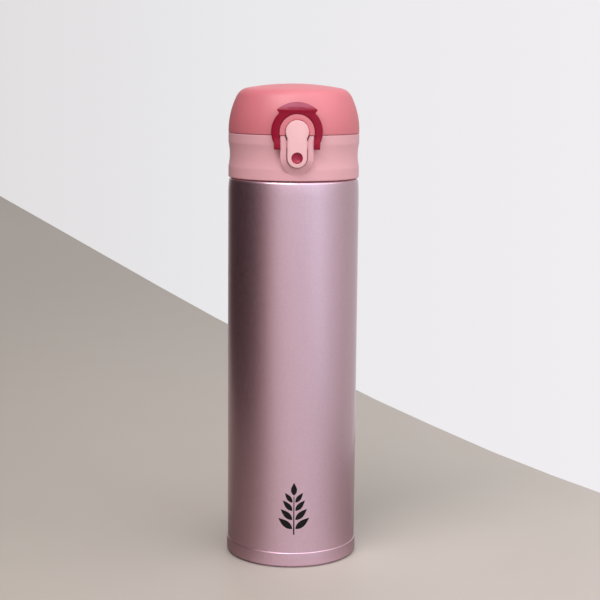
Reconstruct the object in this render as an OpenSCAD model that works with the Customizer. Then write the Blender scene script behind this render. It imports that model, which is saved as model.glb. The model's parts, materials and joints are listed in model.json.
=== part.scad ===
// Vacuum flask with a push-button flip lid, a lock ring and a screw-off cap.
// Millimetres, +Z up, the base stands on z = 0, the latch faces -Y and the lid's hinge is at +Y.

/* [Body] */
// Outside diameter of the painted body
body_d = 65; // [60:0.5:72]
// Height of the body's shoulder above the table
body_h = 190.6; // [150:0.2:240]
// Rounding of the body's shoulder
shoulder_round = 1.6; // [1:0.1:2.4]
// Thickness of the steel sheet
steel_t = 0.6; // [0.5:0.05:0.8]
// Vacuum space between the two walls of the body
vacuum_gap = 2.3; // [1.8:0.1:3.2]
// Vacuum space between the two walls of the neck
neck_gap = 0.9; // [0.6:0.1:1.2]
// Height of the liner's slope from its wide part to its neck
liner_slope_h = 8; // [5:0.5:14]
// Rounding of the liner's bottom corner
liner_round = 5; // [2:0.5:8]
// Thickness of the heat-reflecting foil
foil_t = 0.15; // [0.1:0.05:0.3]

/* [Base] */
// Height of the band round the foot
base_band_h = 7.6; // [5:0.1:12]
// How far the foot band stands out from the body
base_step = 0.42; // [0.2:0.02:0.8]
// Rounding of the foot's lower edge
base_round = 1.4; // [1:0.1:2.4]
// Width of the ring that the flask stands on
base_rim_w = 4; // [2.5:0.1:6]
// Depth of the hollow under the base
base_recess = 1.8; // [1:0.1:3]
// Space between the base and the liner's bottom
floor_gap = 4; // [3:0.1:6]
// Thickness of the disc that covers the hollow
base_plate_t = 0.5; // [0.3:0.05:0.8]
// Diameter of the hole through which the air was drawn out
port_d = 3; // [2:0.1:4]
// Diameter of the bead that seals the hole
seal_bead_d = 6; // [5:0.1:8]
// Height of the seal bead
seal_bead_h = 1; // [0.6:0.1:1.6]
// Diameter of the gas-binding pellet
getter_d = 9; // [6:0.5:12]
// Height of the gas-binding pellet
getter_h = 1.2; // [0.8:0.1:2]
// Distance of the pellet from the middle
getter_off = 12; // [10:0.5:16]

/* [Thread] */
// Rise of the thread in one turn
thread_pitch = 4; // [3.6:0.1:5]
// Turns of thread on the neck and in the cap
thread_turns = 1; // [0.75:0.05:1.2]
// Height of the thread over the neck's wall
thread_proud = 1.2; // [0.9:0.05:1.5]
// Width of the thread at its root
thread_w = 2; // [1.6:0.1:2.2]
// Clearance round the thread
thread_clear = 0.4; // [0.3:0.05:0.6]
// Height of the neck thread's start over the shoulder
thread_from = 6; // [5.5:0.1:7]

/* [Cap] */
// Gap between the body's shoulder and the collar
collar_gap = 0.8; // [0.5:0.1:1.5]
// Height of the collar
collar_h = 21.7; // [20:0.1:26]
// How much smaller the collar's radius is than the body's
collar_set = 0.15; // [0:0.05:0.6]
// Wall of the collar at its waist
collar_t = 1.5; // [1.2:0.1:2]
// Depth of the collar's waist
waist_depth = 0.65; // [0.3:0.05:1]
// Height of the collar's upper band
upper_band_h = 4.6; // [3.6:0.1:6]
// Height of the collar's lower band
lower_band_h = 5.4; // [4:0.1:7]
// Rounding of the collar's edges
collar_round = 0.5; // [0.3:0.05:0.8]
// Depth of the deck below the collar's rim
deck_drop = 0.8; // [0.4:0.1:1.5]
// Thickness of the deck
deck_t = 1.5; // [1.2:0.1:2]
// Thickness of the threaded skirt
skirt_t = 2; // [1.6:0.1:2.6]
// Thickness of the core's web
web_t = 1.9; // [1.7:0.1:2.5]
// Gap between the neck's lip and the web
lip_gap = 0.9; // [0.5:0.1:1.5]
// Depth of the plug below the web
plug_h = 9.8; // [8:0.1:12]
// Wall of the plug
plug_t = 2; // [1.8:0.1:2.6]
// Height of the neck gasket
gasket_h = 3; // [2.4:0.1:4]
// Depth of the neck gasket's groove
gasket_deep = 1.2; // [0.8:0.1:1.4]

/* [Spout] */
// Bore of the spout
spout_bore_d = 22; // [16:0.5:26]
// Wall of the spout at its lip
spout_t = 2.2; // [1.6:0.1:2.8]
// Height of the spout's lip over the deck
spout_h = 9.2; // [7:0.1:11]
// How much the spout widens towards its foot
spout_flare = 1.8; // [0.5:0.1:2.5]
// Width of the spout's flange
spout_flange_w = 3; // [2:0.1:4]
// Thickness of the spout's flange
spout_flange_t = 1.6; // [1.2:0.1:2.2]
// Section of the seal under the spout's flange
spout_seal_w = 1.5; // [1:0.1:1.6]

/* [Lid] */
// Gap between the collar and the lid
split_gap = 0.4; // [0.3:0.05:0.6]
// Wall of the lid
lid_t = 1.8; // [1.5:0.1:2.2]
// Height of the lid's straight rim
lid_rim_h = 0.6; // [0.6:0.1:2.5]
// Radius of the lid's side seen from the front
lid_side_r = 38; // [33:0.5:45]
// Angle at which the side turns into the top corner
lid_side_a = 26.6; // [24:0.1:29]
// Rounding of the lid's top corner
lid_corner_r = 7.4; // [3.5:0.1:8]
// Angle at which the top corner turns into the crown
lid_crown_a = 79.5; // [74:0.5:84]
// Thickness of the inner lining
liner_t = 1.4; // [1.1:0.1:1.8]
// Thickness of the lid's gasket
lid_gasket_t = 2; // [1.5:0.1:2.6]
// Depth of the gasket's dome below its flange
gasket_dome_h = 1.9; // [1:0.1:2.4]
// Diameter of the posts that carry the inner lining
post_d = 4; // [3:0.1:5]

/* [Hinge] */
// Distance of the hinge pin behind the collar
hinge_out = 1.8; // [1.6:0.1:2.4]
// Depth of the hinge pin below the collar's rim
hinge_down = 2; // [1.8:0.1:2.4]
// Diameter of the hinge pin
hinge_pin_d = 2.4; // [2:0.1:2.6]
// Diameter of the hinge knuckles
knuckle_d = 5.2; // [4.8:0.1:5.6]
// Width of each lid knuckle
knuckle_w = 3.2; // [2.6:0.1:4]
// Width of each collar ear
ear_w = 3.4; // [2.8:0.1:4.5]
// Width of the bay for the lid spring
spring_bay_w = 6.6; // [6.4:0.1:8]
// Wire of the lid spring
lid_wire_d = 0.7; // [0.5:0.05:0.75]
// Curls of the lid spring, with the half turn between its legs
lid_curls = 4.5; // [2.5:1:4.5]

/* [Latch] */
// Depth of the latch pin below the collar's rim
latch_down = 4.3; // [4:0.1:5]
// Diameter of the latch pin
latch_pin_d = 2; // [1.6:0.1:2.2]
// Wall of the button round the latch pin
barrel_t = 1.1; // [0.8:0.1:1.2]
// Wall left behind the button
slot_floor_t = 0.9; // [0.7:0.1:1]
// How far the boss round the button stands out from the body
boss_proud = 3.1; // [2.8:0.1:3.6]
// Width of the boss round the button
boss_w = 15.9; // [15:0.1:16.2]
// Height of the boss's straight face over the button's dot
boss_straight = 2.4; // [1:0.1:5]
// Radius of the boss's sweep down to the collar
boss_sweep_r = 17; // [14:0.5:24]
// Gap round the button
button_gap = 0.4; // [0.3:0.05:0.5]

/* [Button] */
// How far the button stands out from the body
button_proud = 3.9; // [3.6:0.1:4.4]
// Thickness of the button's face
button_t = 2; // [1.6:0.1:2.4]
// Depth of the wall round the button's back
button_skirt_h = 1.4; // [0.8:0.1:1.8]
// Thickness of the wall round the button's back
button_wall = 1.2; // [0.9:0.1:1.5]
// Diameter of the button's round head
head_d = 11.4; // [10.8:0.1:11.8]
// Height of the head's middle over the latch pin
head_up = 6.5; // [6:0.1:7]
// Width of the button's stem
stem_w = 9.4; // [8.6:0.1:9.8]
// Depth of the dot's middle below the latch pin
dot_down = 6.1; // [5.6:0.1:6.6]
// Diameter of the dished dot
dot_d = 5.2; // [4.4:0.1:5.6]
// Depth of the dot's dish
dot_dish = 0.9; // [0.5:0.1:1.2]
// Swing of the button each way, in degrees
button_swing = 4; // [3:0.5:4.5]
// Height of the catch nose
nose_h = 1.8; // [1.4:0.1:2]
// Width of the catch nose
nose_w = 4.4; // [3:0.1:5]
// Wire of the button spring
button_wire_d = 0.35; // [0.25:0.05:0.45]
// Curls of the button spring
button_curls = 3; // [2:0.5:3]
// Outside diameter of the button spring
button_spring_d = 4.2; // [3.6:0.1:4.6]

/* [Lock ring] */
// Diameter of the ring's opening
ring_in_d = 17; // [16.8:0.1:17.6]
// Width of the ring's arch
ring_w = 3.75; // [3:0.05:4.5]
// Thickness of the ring
ring_t = 2.5; // [2:0.1:3]
// Gap between the ring and the lid's boss
ring_gap = 0.3; // [0.25:0.05:0.5]
// Height of the ring's middle over the collar's rim
ring_up = 1.9; // [1.5:0.1:2.4]
// Width of the ring's legs
leg_w = 2.7; // [2.2:0.1:3]
// Diameter of the ring's eyes round the latch pin
eye_d = 3.5; // [3:0.1:3.7]
// Radius of the thumb tab's outline
tab_r = 13.7; // [12:0.1:14.2]
// Height of the thumb tab over the ring
tab_up = 0.6; // [0.4:0.1:2.2]
// Height of the thumb tab
tab_h = 4; // [3:0.1:4.6]
// How far the thumb tab stands out from the ring
tab_out = 1.2; // [0.8:0.1:2.8]
// How far the boss on the lid stands out from the lid
lid_boss_proud = 0.7; // [0.5:0.05:0.9]

/* [Fits] */
// Radial clearance of a turning fit
run_clear = 0.05; // [0.03:0.01:0.08]
// Gap beside parts that turn past each other
side_gap = 0.3; // [0.25:0.05:0.4]
// Gap round parts that swing past each other
swing_gap = 0.4; // [0.3:0.05:0.5]
// Radial clearance of a sliding seal
seal_clear = 0.1; // [0.06:0.01:0.2]
// Clearance of a loose fit
loose_clear = 0.2; // [0.1:0.05:0.3]

/* [Hidden] */
$fn = 96;
eps = 0.01;

// Heights, from the body's shoulder up
collar_z0 = body_h + collar_gap;
collar_z1 = collar_z0 + collar_h;
lid_z0 = collar_z1 + split_gap;
deck_z1 = collar_z1 - deck_drop;
deck_z0 = deck_z1 - deck_t;
web_z1 = deck_z0 - spout_flange_t;
web_z0 = web_z1 - web_t;
neck_top = web_z0 - lip_gap;
lip_z = neck_top - steel_t;
skirt_z0 = collar_z0 + 2 * collar_round;
plug_z0 = web_z0 - plug_h;

// Heights of the base and the liner
panel_z = base_recess + steel_t;
liner_z0 = panel_z + floor_gap;
slope_z1 = body_h - steel_t - vacuum_gap;
slope_z0 = slope_z1 - liner_slope_h;

// Radii of the bottle and the cap, from the outside in
body_r = body_d / 2;
base_r = body_r + base_step;
rim_r1 = base_r - base_round;
rim_r0 = rim_r1 - base_rim_w;
liner_r = body_r - steel_t - vacuum_gap;
collar_r = body_r - collar_set;
collar_in = collar_r - waist_depth - collar_t;
core_r = collar_in - run_clear;
skirt_in = core_r - skirt_t;
neck_r = skirt_in - thread_clear - thread_proud;
neck_out = neck_r - steel_t - neck_gap;
neck_in = neck_out - steel_t;
plug_r = neck_in - 4 * loose_clear;
groove_r = plug_r - gasket_deep;

// The spout and its seal
bore_r = spout_bore_d / 2;
lip_r = bore_r + spout_t;
spout_foot_r = lip_r + spout_flare;
flange_r = spout_foot_r + spout_flange_w;
lip_top = deck_z1 + spout_h;
seal_r = lip_r + loose_clear + spout_seal_w;

// The lid's outline: a straight rim, a swept side, a corner and a crown
lid_r = collar_r;
lid_round = collar_round;
side_z = lid_z0 + lid_rim_h;
side_c = lid_r - lid_side_r;
corner_c = [side_c + (lid_side_r - lid_corner_r) * cos(lid_side_a),
            side_z + (lid_side_r - lid_corner_r) * sin(lid_side_a)];
crown_edge = corner_c + lid_corner_r * [cos(lid_crown_a), sin(lid_crown_a)];
crown_r = crown_edge[0] / cos(lid_crown_a);
crown_c = [0, crown_edge[1] - crown_r * sin(lid_crown_a)];
lining_z0 = lip_top + side_gap + lid_gasket_t;
lining_r = lid_inside(lining_z0 + liner_t) - side_gap;
lining_foot = lid_z0 + 4 * swing_gap;
socket_r = lip_r + 3 * swing_gap;

// The hinge
hinge_y = collar_r + hinge_out;
hinge_z = collar_z1 - hinge_down;
knuckle_r = knuckle_d / 2;
relief_r = knuckle_r + swing_gap;
knuckle_x0 = spring_bay_w / 2;
knuckle_x1 = knuckle_x0 + knuckle_w;
ear_x0 = knuckle_x1 + side_gap;
ear_x1 = ear_x0 + ear_w;

// The latch
slot_y = collar_in + slot_floor_t;
barrel_r = latch_pin_d / 2 + run_clear + barrel_t;
latch_y = slot_y + swing_gap + barrel_r;
latch_z = collar_z1 - latch_down;
head_r = head_d / 2;
head_z = latch_z + head_up;
dot_z = latch_z - dot_down;
face_y = body_r + button_proud;
stem_y = face_y - button_t;
pocket_y = lid_r - lid_t / 2;
head_back = pocket_y + (head_up + head_r) * sin(button_swing) + loose_clear;
nose_z = head_z + nose_h;
nose_tip = pocket_y + side_gap / 2;
boss_r = body_r + boss_proud;
boss_half = boss_w / 2;

// The lock ring
ring_z = collar_z1 + ring_up;
ring_in = ring_in_d / 2;
ring_out = ring_in + ring_w;
ring_back = lid_r + lid_boss_proud + ring_gap;
ring_front = ring_back + ring_t;
leg_x0 = boss_half + side_gap;
leg_x1 = leg_x0 + leg_w;
tab_z0 = ring_z + tab_up + tab_r - tab_h;
tab_front = ring_front + tab_out;
pin_half = leg_x0 + leg_w * 0.7;

// Points of a round stretch
function arc(c, r, a0, a1, n = 10) =
    [for (i = [0:n]) let (a = a0 + (a1 - a0) * i / n) c + r * [cos(a), sin(a)]];

// Points of a hollow sweep that leaves an upright wall at its foot and ends at a tip out from the wall
function sweep(foot, tip) =
    let (out = tip[0] - foot[0], up = tip[1] - foot[1], r = (out * out + up * up) / (2 * out))
    arc([foot[0] + r, foot[1]], r, 180, 180 - atan(up / (r - out)));

// Radius of the lid's inner wall at a height on its swept side
function lid_inside(z) = side_c + sqrt(pow(lid_side_r - lid_t, 2) - pow(z - side_z, 2));

// The lid's outline from the rim's outer edge to the middle of the crown, moved in by a wall
function lid_outline(wall) = concat(
    [[lid_r - wall, lid_z0 + (wall > 0 ? 0 : lid_round)]],
    arc([side_c, side_z], lid_side_r - wall, 0, lid_side_a),
    arc(corner_c, lid_corner_r - wall, lid_side_a, lid_crown_a),
    arc(crown_c, crown_r - wall, lid_crown_a, 90)
);

// Least distance between points of a wire that lie further apart along it than some steps, less the wire
function least_gap(path, d, steps) = min([for (i = [0:len(path) - 1]) for (j = [i + steps:1:len(path) - 1])
    norm(path[i][0] - path[j][0])]) - d;

function unit(v) = v / norm(v);

// A solid turned about the flask's axis
module turned(points) {
    rotate_extrude() polygon(points);
}

// A ring about the flask's axis
module ring(r0, r1, z0, z1) {
    turned([[r0, z0], [r1, z0], [r1, z1], [r0, z1]]);
}

// An outline drawn as seen from the front, filled between two depths in front of the axis
module front_slab(depth0, depth1) {
    translate([0, -depth0, 0]) rotate([90, 0, 0]) linear_extrude(depth1 - depth0) children();
}

// An outline drawn as seen from the side, filled between two places across the flask
module side_slab(x0, x1) {
    translate([x0, 0, 0]) rotate([90, 0, 90]) linear_extrude(x1 - x0) children();
}

// A rod across the flask
module cross_rod(r, x0, x1, y, z) {
    translate([x0, y, z]) rotate([0, 90, 0]) cylinder(r = r, h = x1 - x0);
}

// A shape and its mirror image on the other side of the flask
module both_sides() {
    children();
    mirror([1, 0, 0]) children();
}

// Closed skin over a row of rings that have the same number of points
module skin(rings) {
    n = len(rings);
    m = len(rings[0]);
    sides = [for (i = [0:n - 2]) for (k = [0:m - 1]) let (a = i * m + k, b = i * m + (k + 1) % m)
        each [[a, b, b + m], [a, b + m, a + m]]];
    first = [for (k = [1:m - 2]) [0, k + 1, k]];
    end = (n - 1) * m;
    last = [for (k = [1:m - 2]) [end, end + k, end + k + 1]];
    polyhedron([for (r = rings) each r], concat(sides, first, last));
}

// Round wire along a path of points, each with a direction across the path
module wire(path, d, sides = 6) {
    n = len(path) - 1;
    skin([for (i = [0:n])
        let (t = unit(path[min(i + 1, n)][0] - path[max(i - 1, 0)][0]))
        let (u = unit(path[i][1] - (path[i][1] * t) * t))
        let (v = cross(t, u))
        [for (k = [0:sides - 1]) path[i][0] + d / 2 * (cos(360 * k / sides) * u + sin(360 * k / sides) * v)]]);
}

// One ridge of a right-hand thread, from its root to its crest, fading in and out at its ends
module thread_ridge(root, crest, z0) {
    steps = round(36 * thread_turns);
    skin([for (i = [0:steps])
        let (a = 360 * thread_turns * i / steps)
        let (fade = min(1, (i + 0.5) / 3, (steps - i + 0.5) / 3))
        let (z = z0 + thread_pitch * a / 360)
        let (r = root + (crest - root) * fade)
        let (w = thread_w / 2)
        let (c = thread_w / 4)
        let (flip = crest > root ? 1 : -1)
        [for (p = [[root, -w], [r, -c], [r, c], [root, w]])
            [p[0] * cos(a), p[0] * sin(a), z + flip * p[1]]]]);
}

// Front view of the button, grown by a gap
module button_outline(gap) {
    translate([0, head_z]) circle(head_r + gap);
    translate([0, dot_z]) circle(stem_w / 2 + gap);
    translate([-stem_w / 2 - gap, dot_z]) square([stem_w + 2 * gap, head_z - dot_z]);
}

// Bottle

module outer_shell() color("#c4a5b5") {
    inner_round = shoulder_round - steel_t;
    union() {
        turned(concat(
            [[body_r - steel_t, base_band_h], [body_r, base_band_h]],
            arc([body_r - shoulder_round, body_h - shoulder_round], shoulder_round, 0, 90),
            [[neck_r + steel_t, body_h], [neck_r, body_h + steel_t], [neck_r, lip_z], [neck_r - steel_t, lip_z],
             [neck_r - steel_t, body_h - steel_t]],
            arc([body_r - shoulder_round, body_h - shoulder_round], inner_round, 90, 0)
        ));
        thread_ridge(neck_r - steel_t / 2, neck_r + thread_proud, body_h + thread_from);
    }
}

module inner_liner() color("#c8c8c6") {
    wide_c = [liner_r - liner_round, liner_z0 + liner_round];
    turned(concat(
        [[0, liner_z0]],
        arc(wide_c, liner_round, -90, 0),
        [[liner_r, slope_z0], [neck_out, slope_z1], [neck_out, lip_z], [neck_r, lip_z], [neck_r, neck_top],
         [neck_in, neck_top], [neck_in, slope_z1 - steel_t / 2], [liner_r - steel_t, slope_z0 - steel_t / 2]],
        arc(wide_c, liner_round - steel_t, 0, -90),
        [[0, liner_z0 + steel_t]]
    ));
}

module base_cup() color("#b890a0") {
    port_r = port_d / 2;
    lip_in = body_r - steel_t;
    turned(concat(
        [[port_r, base_recess], [rim_r0 - base_recess, base_recess], [rim_r0, 0]],
        arc([rim_r1, base_round], base_round, -90, 0),
        arc([base_r - base_step, base_band_h - base_step], base_step, 0, 90),
        [[lip_in, base_band_h], [lip_in, base_round + steel_t], [rim_r1 - steel_t / 2, steel_t],
         [rim_r0 + steel_t / 2, steel_t], [rim_r0 - base_recess + steel_t / 2, panel_z], [port_r, panel_z]]
    ));
}

module base_plate() color("#bdbdbb") {
    translate([0, 0, base_recess - base_plate_t])
        cylinder(r = rim_r0 - base_recess - swing_gap, h = base_plate_t);
}

module seal_bead() color("#8d8d8a") {
    translate([0, 0, panel_z]) cylinder(d = seal_bead_d, h = seal_bead_h);
    translate([0, 0, base_recess + loose_clear])
        cylinder(d = port_d - 2 * run_clear, h = steel_t - loose_clear + seal_bead_h / 2);
}

module getter() color("#6f6f70") {
    translate([getter_off, 0, panel_z]) cylinder(d = getter_d, h = getter_h);
}

module heat_foil() color("#c98a5e") {
    ring(liner_r + foil_t, liner_r + 2 * foil_t, liner_z0 + liner_round, slope_z0 - liner_round);
}

// Seal between the neck and the cap

module neck_gasket() color("#e9e6e2") {
    r0 = groove_r + run_clear;
    r1 = neck_in - seal_clear;
    mid = (r0 + r1) / 2 + loose_clear;
    z0 = plug_z0 + steel_t + run_clear;
    z1 = z0 + gasket_h - 2 * run_clear;
    third = (z1 - z0) / 6;
    turned([[r0, z0], [mid, z0], [r1, z0 + third], [r1, z0 + 2 * third], [mid, z0 + 3 * third],
            [r1, z1 - 2 * third], [r1, z1 - third], [mid, z1], [r0, z1]]);
}

// Cap

// Outer wall of the collar with its waist between two bands
module collar_wall() {
    low_z = collar_z0 + lower_band_h;
    high_z = collar_z1 - upper_band_h;
    half = (high_z - low_z) / 2;
    sweep_r = (half * half + waist_depth * waist_depth) / (2 * waist_depth);
    sweep_a = asin(half / sweep_r);
    waist_c = [collar_r - waist_depth + sweep_r, (low_z + high_z) / 2];
    turned(concat(
        [[collar_in, collar_z0]],
        arc([collar_r - collar_round, collar_z0 + collar_round], collar_round, -90, 0),
        arc(waist_c, sweep_r, 180 + sweep_a, 180 - sweep_a, 16),
        arc([collar_r - collar_round, collar_z1 - collar_round], collar_round, 0, 90),
        [[collar_in, collar_z1]]
    ));
}

// Boss on the front of the collar, swept back to the collar at its foot
module collar_boss() {
    sweep_z = dot_z + boss_straight;
    foot_z = dot_z - boss_half;
    intersection() {
        front_slab(collar_in, boss_r) {
            translate([0, dot_z]) circle(boss_half);
            translate([-boss_half, dot_z]) square([boss_w, collar_z1 - dot_z]);
        }
        turned(concat(
            [[collar_in + eps, collar_z1], [collar_in + eps, foot_z]],
            arc([boss_r - boss_sweep_r, sweep_z], boss_sweep_r, -asin((sweep_z - foot_z) / boss_sweep_r), 0, 16),
            [[boss_r, collar_z1]]
        ));
    }
}

// Ears that carry the hinge pin, swept out of the collar's waist
module hinge_ears() {
    foot = [collar_r - waist_depth, hinge_z - 2 * knuckle_d];
    tip = [hinge_y + knuckle_r * 0.8, hinge_z - knuckle_r * 0.6];
    both_sides() side_slab(ear_x0, ear_x1) {
        translate([hinge_y, hinge_z]) circle(knuckle_r);
        polygon(concat(
            [[collar_in + eps, foot[1]]],
            sweep(foot, tip),
            [[hinge_y, hinge_z + knuckle_r], [collar_in + eps, hinge_z + knuckle_r * 0.6]]
        ));
    }
}

module cap_collar() color("#e6b0b7") {
    foot_r = collar_in - 4;
    spring_hole_r = lid_wire_d / 2 + loose_clear;
    difference() {
        union() {
            collar_wall();
            ring(spout_foot_r + loose_clear, collar_in + eps, deck_z0, deck_z1);
            ring(foot_r - 2, foot_r, web_z1, deck_z0 + eps);
            collar_boss();
            hinge_ears();
        }
        front_slab(slot_y, boss_r + 1) {
            button_outline(button_gap);
            translate([-head_r, head_z]) square([head_d, head_r]);
        }
        cross_rod(latch_pin_d / 2, -boss_w, boss_w, -latch_y, latch_z);
        cross_rod(hinge_pin_d / 2, -2 * ear_x1, 2 * ear_x1, hinge_y, hinge_z);
        cross_rod(relief_r, -ear_x0 + eps, ear_x0 - eps, hinge_y, hinge_z);
        translate([-spring_place(1), collar_in - 1, hinge_z - spring_r()])
            rotate([-90, 0, 0]) cylinder(r = spring_hole_r, h = hinge_y - collar_in);
    }
}

module cap_core() color("#f1e9e6") {
    union() {
        difference() {
            union() {
                ring(skirt_in, core_r, skirt_z0, web_z1);
                ring(lip_r + loose_clear, core_r, web_z0, web_z1);
                ring(plug_r - plug_t, plug_r, plug_z0, web_z0 + eps);
            }
            ring(groove_r, plug_r + 1, plug_z0 + steel_t, plug_z0 + steel_t + gasket_h);
            ring(lip_r, seal_r, web_z1 - spout_seal_w, web_z1 + 1);
        }
        thread_ridge(skirt_in + skirt_t / 4, neck_r + thread_clear, body_h + thread_from - thread_pitch / 2);
    }
}

module spout() color("#f4eeea") {
    edge = spout_t / 2;
    turned(concat(
        [[bore_r, web_z0 - lip_gap / 2], [lip_r, web_z0 - lip_gap / 2], [lip_r, web_z1], [flange_r, web_z1],
         [flange_r, deck_z0], [spout_foot_r, deck_z0], [spout_foot_r, deck_z1]],
        arc([lip_r - edge, lip_top - edge], edge, 0, 180)
    ));
}

module spout_seal() color("#dedad6") {
    ring(lip_r + run_clear, seal_r - run_clear, web_z1 - spout_seal_w + run_clear, web_z1 - run_clear);
}

module hinge_pin() color("#b9bcbe") {
    cross_rod(hinge_pin_d / 2, -ear_x1 + loose_clear, ear_x1 - loose_clear, hinge_y, hinge_z);
}

module latch_pin() color("#b9bcbe") {
    cross_rod(latch_pin_d / 2, -pin_half, pin_half, -latch_y, latch_z);
}

// Radius of the lid spring's winding, and a place along it from one leg to the other
function spring_r() = (hinge_pin_d + lid_wire_d) / 2 + swing_gap;
function spring_place(end) = end * (spring_bay_w / 2 - lid_wire_d);

// The lid spring: a leg under the lining, the winding round the pin and a leg in the collar's wall
function lid_spring_path() =
    let (r = spring_r(), x = spring_place(1), turns = round(8 * lid_curls))
    let (leg = hinge_y - lining_r + liner_t / 2)
    let (rise = atan((lining_foot - lid_wire_d / 2 - loose_clear - hinge_z - r) / leg))
    let (along = [0, -cos(rise), sin(rise)], across = [0, sin(rise), cos(rise)])
    let (top = [x, hinge_y, hinge_z] + r * across)
    concat(
        [[top + leg * along, across], [top + leg / 2 * along, across]],
        [for (i = [0:turns]) let (a = rise + (180 * 2 * lid_curls - rise) * i / turns)
            let (out = [0, sin(a), cos(a)])
            [[x - 2 * x * i / turns, hinge_y, hinge_z] + r * out, out]],
        [[[-x, collar_in + loose_clear, hinge_z - r], [0, 0, -1]]]
    );

module lid_spring() color("#a9abad") {
    path = lid_spring_path();
    echo(lid_spring_least_gap = least_gap(path, lid_wire_d, 6));
    wire(path, lid_wire_d);
}

// The button spring: it stands on the slot's floor and pushes on the back of the button's face
function button_spring_path() =
    let (r = (button_spring_d - button_wire_d) / 2, turns = round(8 * button_curls))
    let (y0 = -slot_y - run_clear, y1 = -stem_y + run_clear)
    let (first = y0 - button_wire_d, last = y1 + button_wire_d)
    let (spot = function (a, y) [[r * cos(a), y, dot_z + r * sin(a)], [cos(a), 0, sin(a)]])
    concat(
        [spot(0, y0)],
        [for (i = [0:turns]) spot(360 * button_curls * i / turns, first + (last - first) * i / turns)],
        [spot(360 * button_curls, y1)]
    );

module button_spring() color("#a9abad") {
    path = button_spring_path();
    echo(button_spring_least_gap = least_gap(path, button_wire_d, 6));
    wire(path, button_wire_d);
}

// Lid

// Posts under the crown that the inner lining is welded to
module lining_posts() {
    reach = lining_r * 0.7;
    for (a = [45:90:315])
        rotate(a) translate([reach, 0, lining_z0 + liner_t])
            cylinder(d = post_d, h = crown_edge[1] - lining_z0 - liner_t);
}

// Knuckles that turn on the hinge pin, on arms swept out of the lid's side
module lid_knuckles() {
    foot = [lid_r - lid_t / 2, lid_z0 + knuckle_d * 1.3];
    tip = [hinge_y + knuckle_r * 0.8, hinge_z + knuckle_r * 0.6];
    both_sides() side_slab(knuckle_x0, knuckle_x1) {
        translate([hinge_y, hinge_z]) circle(knuckle_r);
        polygon(concat(
            [[lid_r - lid_t, lid_z0], [lid_r - lid_t, foot[1]]],
            sweep(foot, tip),
            [[hinge_y, hinge_z], [hinge_y - knuckle_r * 0.4, lid_z0]]
        ));
    }
}

// Half-round boss on the lid's front that the lock ring closes round
module lid_boss() {
    half = ring_in - ring_gap;
    intersection() {
        front_slab(lid_r / 2, lid_r + lid_boss_proud + 1) {
            translate([0, ring_z]) circle(half);
            translate([-half, lid_z0]) square([2 * half, ring_z - lid_z0]);
        }
        turned(concat(
            [[lid_r - lid_t / 2, lid_z0], [lid_r + lid_boss_proud, lid_z0]],
            arc([side_c, side_z], lid_side_r + lid_boss_proud, 0, lid_side_a),
            arc([side_c, side_z], lid_side_r - lid_t / 2, lid_side_a, 0)
        ));
    }
}

module lid_cover() color("#ee93a2") {
    outside = lid_outline(0);
    inside = lid_outline(lid_t);
    pocket_half = head_r + button_gap;
    difference() {
        union() {
            turned(concat(
                [[lid_r - lid_t, lid_z0], [lid_r - lid_round, lid_z0]],
                outside,
                [for (i = [len(inside) - 1:-1:1]) inside[i]]
            ));
            lid_boss();
            lid_knuckles();
            intersection() {
                lining_posts();
                turned(concat([[0, lid_z0]], lid_outline(lid_t / 2)));
            }
        }
        front_slab(pocket_y, lid_r + lid_boss_proud + 1) {
            translate([0, head_z]) circle(pocket_half);
            translate([-pocket_half, lid_z0 - 1]) square([2 * pocket_half, head_z - lid_z0 + 1]);
        }
        front_slab(lid_r / 2, lid_r)
            translate([-nose_w / 2 - side_gap, nose_z - side_gap])
                square([nose_w + 2 * side_gap, nose_h + 2 * side_gap]);
        cross_rod(hinge_pin_d / 2 + run_clear, -ear_x1, ear_x1, hinge_y, hinge_z);
        both_sides() cross_rod(relief_r, knuckle_x1, ear_x1 + side_gap, hinge_y, hinge_z);
        translate([-knuckle_x0 + eps, lid_r - 2 * lid_t, lid_z0 - 1])
            cube([spring_bay_w - 2 * eps, 3 * lid_t, 1 + lining_foot - lid_z0]);
    }
}

module lid_lining() color("#f6f1ee") {
    union() {
        ring(lining_r - liner_t, lining_r, lining_foot, lining_z0 + liner_t);
        translate([0, 0, lining_z0]) cylinder(r = lining_r, h = liner_t);
        ring(socket_r, socket_r + liner_t, lip_top - gasket_dome_h, lining_z0 + eps);
    }
}

module lid_gasket() color("#e6e2de") {
    flange_z = lining_z0 - lid_gasket_t;
    dome_r = bore_r - 2 * swing_gap;
    ball_r = (dome_r * dome_r + gasket_dome_h * gasket_dome_h) / (2 * gasket_dome_h);
    union() {
        translate([0, 0, flange_z]) cylinder(r = socket_r - run_clear, h = lid_gasket_t);
        turned(concat(
            [[0, flange_z + eps]],
            [[0, flange_z - gasket_dome_h]],
            arc([0, flange_z - gasket_dome_h + ball_r], ball_r, -90, -90 + asin(dome_r / ball_r)),
            [[dome_r, flange_z + eps]]
        ));
    }
}

// Button and lock ring

module push_button() color("#f3bfc1") {
    stem_half = stem_w / 2;
    skirt_y = stem_y - button_skirt_h;
    difference() {
        union() {
            front_slab(skirt_y, face_y) button_outline(0);
            front_slab(head_back, face_y) translate([0, head_z]) circle(head_r);
            cross_rod(barrel_r, -stem_half, stem_half, -latch_y, latch_z);
            front_slab(nose_tip, skirt_y + eps)
                translate([-nose_w / 2, nose_z]) square([nose_w, nose_h]);
        }
        front_slab(skirt_y - 1, stem_y) {
            translate([0, dot_z]) circle(stem_half - button_wall);
            translate([-stem_half + button_wall, dot_z])
                square([stem_w - 2 * button_wall, latch_z - barrel_r - dot_z]);
        }
        front_slab(skirt_y, face_y + 1) translate([0, dot_z]) circle(dot_d / 2);
        cross_rod(latch_pin_d / 2 + run_clear, -stem_w, stem_w, -latch_y, latch_z);
    }
}

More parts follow.
